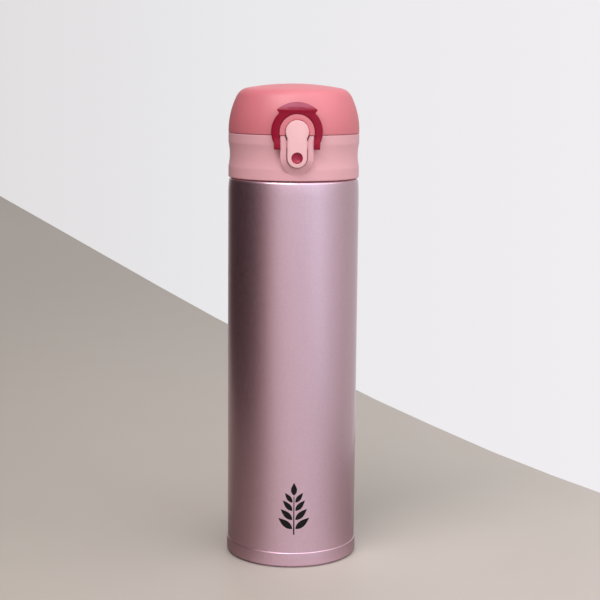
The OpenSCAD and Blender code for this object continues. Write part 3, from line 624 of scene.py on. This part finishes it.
joint_place = {j["name"]: [c / MM for c in j["pos_m"]] for j in frame["joints"] if "pos_m" in j}
hinge_y, hinge_z = joint_place["lid_hinge"][1:]
latch_y, latch_z = joint_place["button_rock"][1:]
rim_z = hinge_z + 2
collar_r = span("cap_collar", "x")[1]
collar_in = 30.2
edge_round = 0.5
seam_round = 0.3
waist_depth = 0.65
waist_low, waist_high = collar_foot + 5.4, rim_z - 4.6
waist_half = (waist_high - waist_low) / 2
waist_r = (waist_half ** 2 + waist_depth ** 2) / (2 * waist_depth)
waist_angle = degrees(asin(waist_half / waist_r))
waist_c = (collar_r - waist_depth + waist_r, (waist_low + waist_high) / 2)
deck_hole = 15.2
collar = turned("cap_collar_moulding", [
    (collar_in, collar_foot),
    *arc((collar_r - edge_round, collar_foot + edge_round), edge_round, -90, 0, 6),
    *climb(collar_r, collar_foot + edge_round, waist_low),
    *arc(waist_c, waist_r, 180 + waist_angle, 180 - waist_angle, 18),
    *climb(collar_r, waist_high, rim_z - seam_round),
    *arc((collar_r - seam_round, rim_z - seam_round), seam_round, 0, 90, 6),
    (collar_in, rim_z), (collar_in, deck_top), (deck_hole, deck_top), (deck_hole, deck_low),
    (collar_in, deck_low),
])
head_r, stem_half, button_gap = 5.55, 4.7, 0.3
head_z = latch_z + 6.2
dot_z = latch_z - 6.1
slot_y = -31.1
skin = 0.02


def keyhole(gap):
    """Front view of the button, grown by a gap: a round head over a narrower stem with a round foot."""
    head, stem = head_r + gap, stem_half + gap
    shoulder = degrees(acos(stem / head))
    return arc((0, head_z), head, -shoulder, 180 + shoulder, 40) + arc((0, dot_z), stem, 180, 360, 30)


combine(collar, slab("slot", keyhole(button_gap + skin), "y", slot_y, -collar_r - past), "DIFFERENCE")
boss_half = 7.95
boss_r = -span("cap_collar", "y")[0]
boss_back = 30.6
boss_round = 0.25
sweep_z, sweep_foot = dot_z + 1.5, dot_z - 8.7
flare = 0.35


def boss_row(half, depth, widened):
    """One edge of the U-shaped boss, from the rim on the left round its foot to the rim on the right."""
    heights = [rim_z - d for d in (0, 0.3, 0.6, 0.9, 1.2, 2.4, 4, 6, 8)]
    head = head_r + button_gap + flare
    wide = [sqrt(head ** 2 - (head_z - z) ** 2) if widened and head_z - z < head else 0 for z in heights]
    sides = [(-max(half, w), z) for w, z in zip(wide, heights)]
    turn = [(x, dot_z + (z - dot_z) * depth / half) for x, z in arc((0, dot_z), half, 180, 360, 40)]
    return sides + turn + [(-x, z) for x, z in reversed(sides)]


def boss_depth(x, y, z):
    """The boss's face is round about the flask's axis, and at its foot it flows back into the collar."""
    fall = min(1, max(0, (sweep_z - z) / (sweep_z - sweep_foot))) ** 1.5
    share = (-y - boss_back) / (boss_r - boss_back)
    radius = -y - share * (boss_r - collar_r + skin) * fall ** 2 * (3 - 2 * fall)
    return -sqrt(radius ** 2 - x ** 2)


stem_room = stem_half + button_gap
boss_outside = boss_row(boss_half, dot_z - sweep_foot, False)
boss_inside = boss_row(stem_room, stem_room, True)
boss = band("boss", boss_outside, boss_inside, -boss_back, -boss_r, boss_round)
combine(collar, reshape(boss, boss_depth), "UNION")
pin_r = 1.2
knuckle_r, knuckle_round = 2.6, 0.4
tip_out, tip_up = knuckle_r * 0.8, knuckle_r * 0.6
ear_x0, ear_x1 = 6.8, 10.2
ear_in = collar_in + 0.1
ear_foot = hinge_z - 4 * knuckle_r
ear = [
    *sweep((collar_r - waist_depth - 0.3, ear_foot), (hinge_y + tip_out, hinge_z - tip_up)),
    *arc((hinge_y, hinge_z), knuckle_r, -37, 90, 12)[1:],
    (ear_in, hinge_z + tip_up), (ear_in, ear_foot),
]
for side in (-1, 1):
    combine(collar, slab("ear", ear, "x", side * ear_x0, side * ear_x1, knuckle_round), "UNION")
relief_r, relief_half = knuckle_r + 0.4, ear_x0 - skin
pin_reach = ear_x1 + past
combine(collar, rod("relief", relief_r, -relief_half, relief_half, hinge_y, hinge_z), "DIFFERENCE")
combine(collar, rod("pin_hole", pin_r + skin, -pin_reach, pin_reach, hinge_y, hinge_z), "DIFFERENCE")
shade(collar)
coat(collar, moulded("abs_pale_pink", "e4acb3"))
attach(collar, "cap")
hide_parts("cap_collar")

# Pins and springs
# Both pins are ground steel wire with chamfered ends. A torsion spring of drawn wire is wound round the hinge
# pin, and a small compression spring stands behind the button's foot.

# Spring steel: bright wire with fine draw marks, 0.08 mm apart and drawn at 0.2 mm.
wire_steel, tree, shader, place = material("spring_steel_drawn")
marks = add(tree, "TexNoise", {"Vector": place, "Scale": 1 / (0.2 * MM), "Detail": 2}).outputs["Fac"]
rough = add(tree, "MapRange", {"Value": marks, "To Min": 0.18, "To Max": 0.36}).outputs["Result"]
tree.links.new(rough, shader.inputs["Roughness"])
shader.inputs["Base Color"].default_value = linear("b4b6b8")
shader.inputs["Metallic"].default_value = 1

latch_pin_r, chamfer = 0.75, 0.25
for name, node, radius, y, z in (("hinge_pin_steel", "hinge_pin", pin_r, hinge_y, hinge_z),
                                 ("latch_pin_steel", "latch_pin", latch_pin_r, latch_y, latch_z)):
    pin = rod(name, radius, *span(node, "x"), y, z, chamfer)
    coat(pin, wire_steel)
    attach(pin, "cap")
    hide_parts(node)


def wound(name, points, thickness):
    """Round wire along points, with closed ends."""
    bpy.ops.object.select_all(action="DESELECT")
    line = bpy.data.curves.new(name, "CURVE")
    line.dimensions = "3D"
    line.bevel_depth = thickness / 2 * MM
    line.bevel_resolution = 4
    line.use_fill_caps = True
    run = line.splines.new("POLY")
    run.points.add(len(points) - 1)
    for knot, point in zip(run.points, points):
        knot.co = [c * MM for c in point] + [1]
    wire = bpy.data.objects.new(name, line)
    bpy.context.collection.objects.link(wire)
    wire.select_set(True)
    bpy.context.view_layer.objects.active = wire
    bpy.ops.object.convert(target="MESH")
    wire = bpy.context.object
    coat(wire, wire_steel)
    return shade(wire)


bay_half = 3.3
lid_wire, lid_curls, lid_steps = 0.7, 4.5, 180
coil_r = pin_r + lid_wire / 2 + 0.4
coil_x = bay_half - lid_wire
lining_r = span("lid_lining", "x")[1]
lining_foot = span("lid_lining", "z")[0]
leg = hinge_y - lining_r + 0.7
leg_z = lining_foot - lid_wire / 2 - 0.2
rise = degrees(atan((leg_z - hinge_z - coil_r) / leg))
lid_coil = []
for i in range(lid_steps + 1):
    angle = radians(rise + (360 * lid_curls - rise) * i / lid_steps)
    x = coil_x - 2 * coil_x * i / lid_steps
    lid_coil.append((x, hinge_y + coil_r * sin(angle), hinge_z + coil_r * cos(angle)))
leg_tip = (coil_x, lid_coil[0][1] - leg * cos(radians(rise)), lid_coil[0][2] + leg * sin(radians(rise)))
tail = (-coil_x, collar_in + 0.2, hinge_z - coil_r)
lid_spring = wound("lid_torsion_spring", [leg_tip, *lid_coil, tail], lid_wire)
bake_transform(lid_spring)
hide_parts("lid_spring")

button_wire, button_curls, curl_steps = 0.35, 3, 32
spring_wide = 4.2
spring_r = (spring_wide - button_wire) / 2
spring_front, spring_back = span("button_spring", "y")
y_floor, y_face = spring_back - button_wire / 2, spring_front + button_wire / 2
button_coil = []
for i in range(button_curls * curl_steps + 1):
    angle = 2 * pi * i / curl_steps
    y = y_floor + (y_face - y_floor) * i / (button_curls * curl_steps)
    button_coil.append((spring_r * cos(angle), y, dot_z + spring_r * sin(angle)))
button_spring = wound("button_coil_spring", button_coil, button_wire)
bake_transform(button_spring)
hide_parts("button_spring")

# Lid cover
# The domed lid is moulded in pink plastic, with a half-round boss and a pocket for the button's head at the
# front and two knuckles on swept arms at the back, which turn on the hinge pin.
lid_z0 = rim_z + 0.2
lid_r = collar_r
lid_wall = 1.8
side_z = rim_z + 0.99
side_r, side_angle = 38, 26.6
brow_r, crown_angle = 7.4, 79.5


def from_centre(centre, radius, angle):
    """The point at a distance and an angle in degrees from a centre."""
    return centre[0] + radius * cos(radians(angle)), centre[1] + radius * sin(radians(angle))


side_c = (lid_r - side_r, side_z)
brow_c = from_centre(side_c, side_r - brow_r, side_angle)
crown_edge = from_centre(brow_c, brow_r, crown_angle)
crown_r = crown_edge[0] / cos(radians(crown_angle))
crown_c = (0, crown_edge[1] - crown_r * sin(radians(crown_angle)))


def lid_skin(inset):
    """The lid's section, moved in by an inset: its swept side, the brow, and the crown up to its middle."""
    swept_side = arc(side_c, side_r - inset, 0, side_angle, 24)
    brow = arc(brow_c, brow_r - inset, side_angle, crown_angle, 14)
    crown = arc(crown_c, crown_r - inset, crown_angle, 90, 14)
    return swept_side + brow[1:] + crown[1:]


lid = turned("lid_cover_moulding", [
    (lid_r - lid_wall, lid_z0),
    *arc((lid_r - seam_round, lid_z0 + seam_round), seam_round, -90, 0, 6),
    *lid_skin(0), *reversed(lid_skin(lid_wall)),
], fine_sides)
pocket_y = -lid_r + lid_wall / 2
pocket_half = head_r + button_gap / 2


def arch_row(half, middle, low):
    """An arch as seen from the front: up on the left, over the top and down on the right."""
    legs = [(-half, low + (middle - low) * i / 4) for i in range(4)]
    return legs + arc((0, middle), half, 180, 0, 40) + [(-x, z) for x, z in reversed(legs)]


pocket_row = arch_row(pocket_half + skin, head_z, lid_z0 - past)
pocket = slab("pocket", pocket_row, "y", pocket_y, -lid_r - 2 * past)
combine(lid, pocket, "DIFFERENCE")
ring_z = rim_z + 1.9
ring_in = 8.5
lid_boss_half = ring_in - 0.15
lid_boss_back = 30.9
lid_boss_front = lid_r + 3.2


def lid_boss_depth(x, y, z):
    """The boss's face is upright, and its back follows the lid's swept side."""
    drop = side_r - sqrt(side_r ** 2 - max(0, z - side_z) ** 2)
    share = (-y - lid_boss_back) / (lid_boss_front - lid_boss_back)
    return -sqrt((-y - drop * (1 - share)) ** 2 - x ** 2)


lid_boss = band("lid_boss", arch_row(lid_boss_half, ring_z, lid_z0), arch_row(pocket_half, head_z, lid_z0),
                -lid_boss_back, -lid_boss_front, boss_round)
combine(lid, reshape(lid_boss, lid_boss_depth), "UNION")
nose_half = 2.2
nose_z0 = head_z + 1.8
nose_z1 = nose_z0 + 1.8
sill_gap, sill_depth = 0.3, 4
sill_half = nose_half + sill_gap
sill = oblong(-sill_half, sill_half, nose_z0 - sill_gap, nose_z1 + sill_gap)
combine(lid, slab("sill", sill, "y", -lid_r + sill_depth, -lid_r), "DIFFERENCE")
knuckle_x0, knuckle_x1 = bay_half, 6.5
arm_sunk = 0.05
arm_in, arm_foot = lid_r - lid_wall + arm_sunk, lid_z0 + arm_sunk
arm_top = lid_z0 + knuckle_r * 2.6
arm = [
    *sweep((lid_r - lid_wall / 2, arm_top), (hinge_y + tip_out, hinge_z + tip_up)),
    *arc((hinge_y, hinge_z), knuckle_r, 36, -247, 28)[1:],
    (arm_in, arm_foot), (arm_in, arm_top),
]
room_x0, room_x1 = knuckle_x1 + skin, ear_x1 + 0.3
for side in (-1, 1):
    combine(lid, slab("arm", arm, "x", side * knuckle_x0, side * knuckle_x1, knuckle_round), "UNION")
    ear_room = rod("ear_room", relief_r, side * room_x0, side * room_x1, hinge_y, hinge_z)
    combine(lid, ear_room, "DIFFERENCE")
pin_gap = 0.05
combine(lid, rod("pin_bore", pin_r + pin_gap, -ear_x1, ear_x1, hinge_y, hinge_z), "DIFFERENCE")
bay = oblong(lid_r - 2 * lid_wall, lid_r + lid_wall, lid_z0 - past, lining_foot)
combine(lid, slab("bay", bay, "x", skin - bay_half, bay_half - skin), "DIFFERENCE")
shade(lid)
coat(lid, moulded("abs_pink", "d87781", matt=0.46, sheen=0.7))
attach(lid, "lid")
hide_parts("lid_cover")

# Lid lining and gasket
# The lining is a white moulded cup, welded to posts under the crown. The silicone gasket is pressed into the
# lining's socket, and its dome closes the spout's bore.
lining_top = span("lid_lining", "z")[1]
lining_wall, lining_round = 1.4, 0.5
lining_in = lining_r - lining_wall
lining_z0 = lining_top - lining_wall
dome_tip, gasket_top = span("lid_gasket", "z")
flange_out = span("lid_gasket", "x")[1]
socket_r = flange_out + 0.05
socket_out = socket_r + lining_wall
socket_foot = dome_tip - 0.3
lining = turned("lid_lining_cup", eased([
    (0, lining_z0), (socket_r, lining_z0), (socket_r, socket_foot), (socket_out, socket_foot),
    (socket_out, lining_z0), (lining_in, lining_z0), (lining_in, lining_foot),
    (lining_r, lining_foot), (lining_r, lining_top), (0, lining_top),
], lining_round), 160)
coat(lining, white)
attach(lining, "lid")
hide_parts("lid_lining")

flange_z = lining_z0 - 2
flange_ease = 0.3
dome_r = bore_r - 0.8
dome_h = flange_z - dome_tip
ball_r = (dome_r ** 2 + dome_h ** 2) / (2 * dome_h)
dome_angle = degrees(asin(dome_r / ball_r))
plug = turned("lid_gasket_dome", [
    *arc((0, dome_tip + ball_r), ball_r, -90, dome_angle - 90, 16),
    (dome_r + flange_ease, flange_z), (flange_out - flange_ease, flange_z),
    (flange_out, flange_z + flange_ease), (flange_out, gasket_top), (0, gasket_top),
], round_sides)
coat(plug, silicone)
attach(plug, "lid")
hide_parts("lid_gasket")

# Push button
# A keyhole-shaped rocker moulded in light pink plastic. It turns on the latch pin between the boss's walls,
# and its head carries the catch that holds the lid.
face_y = span("push_button", "y")[0]
face_round = 0.5
skirt_y = face_y + 3.4
button = slab("rocker_button", keyhole(0), "y", skirt_y, face_y, face_round, [face_y])
barrel_r, barrel_half = 2.15, stem_room - 0.04
combine(button, rod("barrel", barrel_r, -barrel_half, barrel_half, latch_y, latch_z), "UNION")
dot_r = 2.75
dot_back_y = span("button_dot", "y")[1]
dot_hole = slab("dot_hole", arc((0, dot_z), dot_r, 0, 357, 119), "y", dot_back_y, face_y - past)
combine(button, dot_hole, "DIFFERENCE")
hollow_half = stem_half - 1.2
hollow_top = latch_z - barrel_r
hollow_foot = arc((0, dot_z), hollow_half, 180, 360, 30)
back_hollow = [*hollow_foot, (hollow_half, hollow_top), (-hollow_half, hollow_top)]
combine(button, slab("back_hollow", back_hollow, "y", skirt_y + 1, dot_back_y), "DIFFERENCE")
nose = oblong(-nose_half, nose_half, nose_z0, nose_z1)
nose_tip, nose_root = pocket_y - 0.15, skirt_y - 0.5
combine(button, slab("nose", nose, "y", nose_tip, nose_root), "UNION")
rocker_bore, bore_half = 1.05, stem_half + past
combine(button, rod("bore", rocker_bore, -bore_half, bore_half, latch_y, latch_z), "DIFFERENCE")
shade(button)
coat(button, moulded("abs_light_pink", "ecbabd"))
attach(button, "button")
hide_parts("push_button")

# Button dot
# A small dished disc moulded in dark berry plastic and pressed into the button's foot. It shows where the
# thumb goes.
dot_face_y = span("button_dot", "y")[0]
disc_r = dot_r - skin
disc_rim = 0.11
dish_r, dish = disc_r - 2 * disc_rim, 1.1
dish_ball = (dish_r ** 2 + dish ** 2) / (2 * dish)
dish_angle = degrees(asin(dish_r / dish_ball))
dot = turned("dished_dot", [
    (0, dot_back_y), (disc_r, dot_back_y),
    *arc((disc_r - disc_rim, dot_face_y + disc_rim), disc_rim, 0, -180, 6),
    *arc((0, dot_face_y + disc_rim + dish - dish_ball), dish_ball, 90 - dish_angle, 90, 12),
], 96, dot_z)
# The dot's berry is painted lighter than the ring's, for the gloss its dish shows and to lift the dish's
# shade.
coat(dot, moulded("abs_berry_painted_lighter", "a52a45", matt=0.3, drift=0.9, sheen=0.3))
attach(dot, "button")
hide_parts("button_dot")

# Lock ring
# A stirrup moulded in dark berry plastic: an arch that closes round the lid's boss, two legs with eyes that
# turn on the latch pin, and a lens-shaped tab over the arch for the thumb.
ring_out = ring_in + 3.75
ring_back = 33.35
ring_front = ring_back + 2.5
ring_round = 0.4
leg_out = boss_half + 3
leg_heights = [latch_z + (ring_z - latch_z) * i / 8 for i in range(8)]


def stirrup_row(side, radius):
    """One edge of the stirrup, from the right leg's foot over the arch to the left leg's foot."""
    return side + arc((0, ring_z), radius, 0, 180, 56) + [(-x, z) for x, z in reversed(side)]


def round_about(x, y, z):
    """Lays a flat piece round the flask, with its depth as the distance from the flask's axis."""
    return -sqrt(y ** 2 - x ** 2)


outer_side = [(max(leg_out, sqrt(ring_out ** 2 - (ring_z - z) ** 2)), z) for z in leg_heights]
inner_side = [(ring_in, z) for z in leg_heights]
stirrup = band("lock_stirrup", stirrup_row(outer_side, ring_out), stirrup_row(inner_side, ring_in),
               -ring_back, -ring_front, ring_round)
ring = reshape(stirrup, round_about)
tab_r, tab_h = 14.5, 3.7
tab_c = ring_z - 0.5
tab_top = tab_c + tab_r
tab_z0 = tab_top - tab_h
tab_angle = degrees(asin((tab_z0 - tab_c) / tab_r))
wing, wing_z = 1.1, tab_z0 - 1.5
lens = arc((0, tab_c), tab_r, tab_angle, 180 - tab_angle, 40)
lens += [(lens[-1][0] + wing, wing_z), (lens[0][0] - wing, wing_z)]
tab_front, tab_round, tab_lean = ring_front + 0.3, 1.6, 35
tab_lip = arc((tab_front - tab_round, tab_z0 - 0.3), tab_round, 0, tab_lean, 8)
crest_z = tab_top - 0.35
crest_r = tab_lip[-1][0] - (crest_z - tab_lip[-1][1]) * tan(radians(tab_lean))
crest_round = 0.1
tab_foot = ring_z + 7.8
tab = turned("thumb_tab", [
    (ring_back, tab_foot), (ring_front - 0.1, tab_foot), (ring_front + skin, wing_z), *tab_lip,
    (crest_r, crest_z), (crest_r - crest_round, tab_top + crest_round), (ring_back, tab_top + crest_round),
], fine_sides)
combine(tab, slab("tab_outline", lens, "y", -ring_back / 2, -tab_front - past), "INTERSECT")
combine(ring, tab, "UNION")
eye_round, eye_reach = 0.8, 2.2
eye_front, eye_top, eye_edge = -1.4, 4, 0.2
eye_side = [
    (-0.2, eye_top), (eye_front, 1.2),
    *arc((eye_round + eye_front, eye_round - eye_reach), eye_round, 180, 270, 6),
    *arc((0, 0), eye_reach, -90, -40, 8), (1.7, eye_top),
]
eye = [(latch_y + y, latch_z + z) for y, z in eye_side]
eye_in = boss_half + 0.03
for side in (-1, 1):
    combine(ring, slab("eye", eye, "x", side * eye_in, side * leg_out, eye_edge), "UNION")
eye_bore, eye_end = 0.8, leg_out - 0.7
combine(ring, rod("eye_bore", eye_bore, -eye_end, eye_end, latch_y, latch_z), "DIFFERENCE")
shade(ring)

# Berry plastic. Over the tab's round lip a lighter mauve fades in towards the top: a painted highlight where
# the lip faces up towards the lamps.
berry = moulded("abs_berry", "920c2d", matt=0.3, drift=0.9)
tree = berry.node_tree
shader = tree.nodes["Principled BSDF"]
place = tree.nodes["Texture Coordinate"].outputs["Object"]
height = add(tree, "SeparateXYZ", {"Vector": place}).outputs["Z"]
highlight_z0, highlight_z1 = tab_z0 + 0.2, tab_z0 + 1.8
highlight_limits = {"From Min": highlight_z0 * MM, "From Max": highlight_z1 * MM}
highlight_share = add(tree, "MapRange", {"Value": height, **highlight_limits}).outputs["Result"]
plain = shader.inputs["Base Color"].links[0].from_socket
# Painted highlight: the lighter mauve is mixed over the plain berry between the two heights.
painted_highlight_tone = add(tree, "Mix", {0: highlight_share, 6: plain, 7: linear("a34c63")}, data_type="RGBA").outputs[2]
tree.links.new(painted_highlight_tone, shader.inputs["Base Color"])
coat(ring, berry)
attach(ring, "lock")
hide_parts("lock_ring")

# Studio
# A taupe table top with a gently bent far edge stands before a white wall, with a dim room on the left. Two
# soft boxes hang over the camera, a small one on the left and a large one on the right.
floor = new_mesh("floor")
table_edge = [
    (-543, 2344), (-334, 1657), (-108, 912), (-45, 709), (24, 500), (78, 342), (109, 262), (138, 191),
    (165, 134), (190, 87), (222, 30), (260, -50), (603, -1205), (-330, -1205), (-330, 930),
]
trace([(x, y, 0) for x, y in [*table_edge, table_edge[0]]])
close_mesh()
bpy.ops.mesh.edge_face_add()
close_mesh()
bpy.ops.object.mode_set(mode="OBJECT")


def graded(tree, value, stops):
    """A colour that changes with a value, through (value, hex colour) stops."""
    low, high = stops[0][0], stops[-1][0]
    share = add(tree, "MapRange", {"Value": value, "From Min": low, "From Max": high}).outputs["Result"]
    ramp = add(tree, "ValToRGB", {"Fac": share})
    while len(ramp.color_ramp.elements) < len(stops):
        ramp.color_ramp.elements.new(0.5)
    for stop, (at, code) in zip(ramp.color_ramp.elements, stops):
        stop.position, stop.color = (at - low) / (high - low), linear(code)
    return ramp.outputs["Color"]


def graded_about(tree, place, stops):
    """A colour that changes with the angle of a place or a direction about the flask's axis, through (angle
    in degrees, hex colour) stops. The angle is 0 at the front and grows towards the right."""
    parts = add(tree, "SeparateXYZ", {"Vector": place}).outputs
    front = add(tree, "Math", {0: parts["Y"], 1: -1}, operation="MULTIPLY").outputs[0]
    turn = add(tree, "Math", {0: parts["X"], 1: front}, operation="ARCTAN2").outputs[0]
    return graded(tree, turn, [(radians(at), code) for at, code in stops])


# Table top: a matt taupe laminate with slow cloudy patches of about 60 mm. Its tone is painted lighter to the
# right and far away, by places in metres: painted light for how the lamps fall on it. Shiny pieces see it in
# a separate tone, a painted reflection that is darker at the sides, where the room is dim.
table, tree, shader, place = material("table_top_matt")
patches = add(tree, "TexNoise", {"Vector": place, "Scale": 1 / (60 * MM), "Detail": 3}).outputs["Fac"]
along = add(tree, "SeparateXYZ", {"Vector": place}).outputs
# The patches plus a painted light that grows to the right; further on, far places are painted lighter still.
patches_and_painted_light = add(tree, "Math", {0: patches, 1: 0.1, 2: along["X"]}, operation="MULTIPLY_ADD").outputs[0]
near = graded(tree, patches_and_painted_light, [(-0.2, "afa69d"), (0.12, "bfb6ae"), (0.25, "c8bfb8")])
far = add(tree, "MapRange", {"Value": along["Y"], "From Min": 0.1, "From Max": 1.5}).outputs["Result"]
tone = add(tree, "Mix", {0: far, 6: near, 7: linear("cdc3b9")}, data_type="RGBA").outputs[2]
# Painted reflection: shiny pieces see the table in this tone, darker at the sides for the shade of the dim
# room.
painted_reflection_tone = graded_about(tree, place, [
    (-180, "c0b6ae"), (-140, "94867d"), (-115, "6c5c54"), (-75, "78675d"), (-50, "8a7a71"), (-25, "b4aba4"),
    (0, "bdb5b0"), (25, "bab2ad"), (50, "a49a93"), (80, "82756d"), (110, "7a6d66"), (150, "a0958e"),
    (180, "c0b6ae"),
])
glossy_ray = add(tree, "LightPath", {}).outputs["Is Glossy Ray"]
shown = add(tree, "Mix", {0: glossy_ray, 6: tone, 7: painted_reflection_tone}, data_type="RGBA").outputs[2]
tree.links.new(shown, shader.inputs["Base Color"])
shader.inputs["Roughness"].default_value = 0.55
coat(floor, table)

# The room: the camera sees the white wall, and the walls all round light the pieces and show in them.
world = bpy.data.worlds.new("studio")
bpy.context.scene.world = world
world.use_nodes = True
tree = world.node_tree
heading = add(tree, "TexCoord", {}).outputs["Generated"]
walls = graded_about(tree, heading, [
    (-180, "ececec"), (-166, "d0cecd"), (-154, "7c7674"), (-143, "463735"), (-130, "291816"), (-85, "281615"),
    (-64, "3f2926"), (-48, "8f7671"), (-34, "cec1c1"), (-14, "e3e0e2"), (8, "d3d4d8"), (22, "e5edf4"),
    (30, "eff8ff"), (48, "eef7ff"), (62, "d2d1d1"), (95, "b5afab"), (130, "b9b5b1"), (160, "cccccc"),
    (170, "ececec"), (180, "ececec"),
])
# The wall that the camera sees is painted darker to the left and lighter to the right: painted shade and
# light.
sideways = add(tree, "SeparateXYZ", {"Vector": heading}).outputs["X"]
backdrop = graded(tree, sideways, [(-0.2, "dfdcdd"), (0, "e9e8ea"), (0.25, "f1eef1")])
camera_ray = add(tree, "LightPath", {}).outputs["Is Camera Ray"]
seen = add(tree, "Mix", {0: camera_ray, 6: walls, 7: backdrop}, data_type="RGBA").outputs[2]
tree.links.new(seen, tree.nodes["Background"].inputs["Color"])


def aimed(name, data, spot, turn, tilt, roll=0):
    """Sets up a lamp or a camera at a spot in metres: turned about the upright, tilted up from straight down
    and rolled about its own line of sight, all in degrees."""
    stand = bpy.data.objects.new(name, data)
    bpy.context.collection.objects.link(stand)
    stand.matrix_world = (Matrix.Translation(spot) @ Matrix.Rotation(radians(turn), 4, "Z")
                          @ Matrix.Rotation(radians(tilt), 4, "X") @ Matrix.Rotation(radians(roll), 4, "Z"))
    return stand


for name, wide, high, watts, spot, turn, tilt in (
        ("key_box", 0.6, 0.45, 4.7, (-0.34, -0.53, 0.95), -33, 38),
        ("fill_box", 1.8, 1.3, 8.2, (0.35, -0.48, 1), 36, 32)):
    lamp = bpy.data.lights.new(name, "AREA")
    lamp.shape = "RECTANGLE"
    lamp.size, lamp.size_y, lamp.energy = wide, high, watts
    aimed(name, lamp, spot, turn, tilt)

view = bpy.data.cameras.new("camera")
view.lens, view.sensor_width = 88.96, 36
camera_spot = (-0.0327, -0.7371, 0.2455)
camera_turn, camera_dip, camera_roll = -2.829, 8.95, 0.5
camera = aimed("camera", view, camera_spot, camera_turn, 90 - camera_dip, camera_roll)
bpy.context.scene.camera = camera
bpy.context.scene.view_settings.view_transform = "Standard"
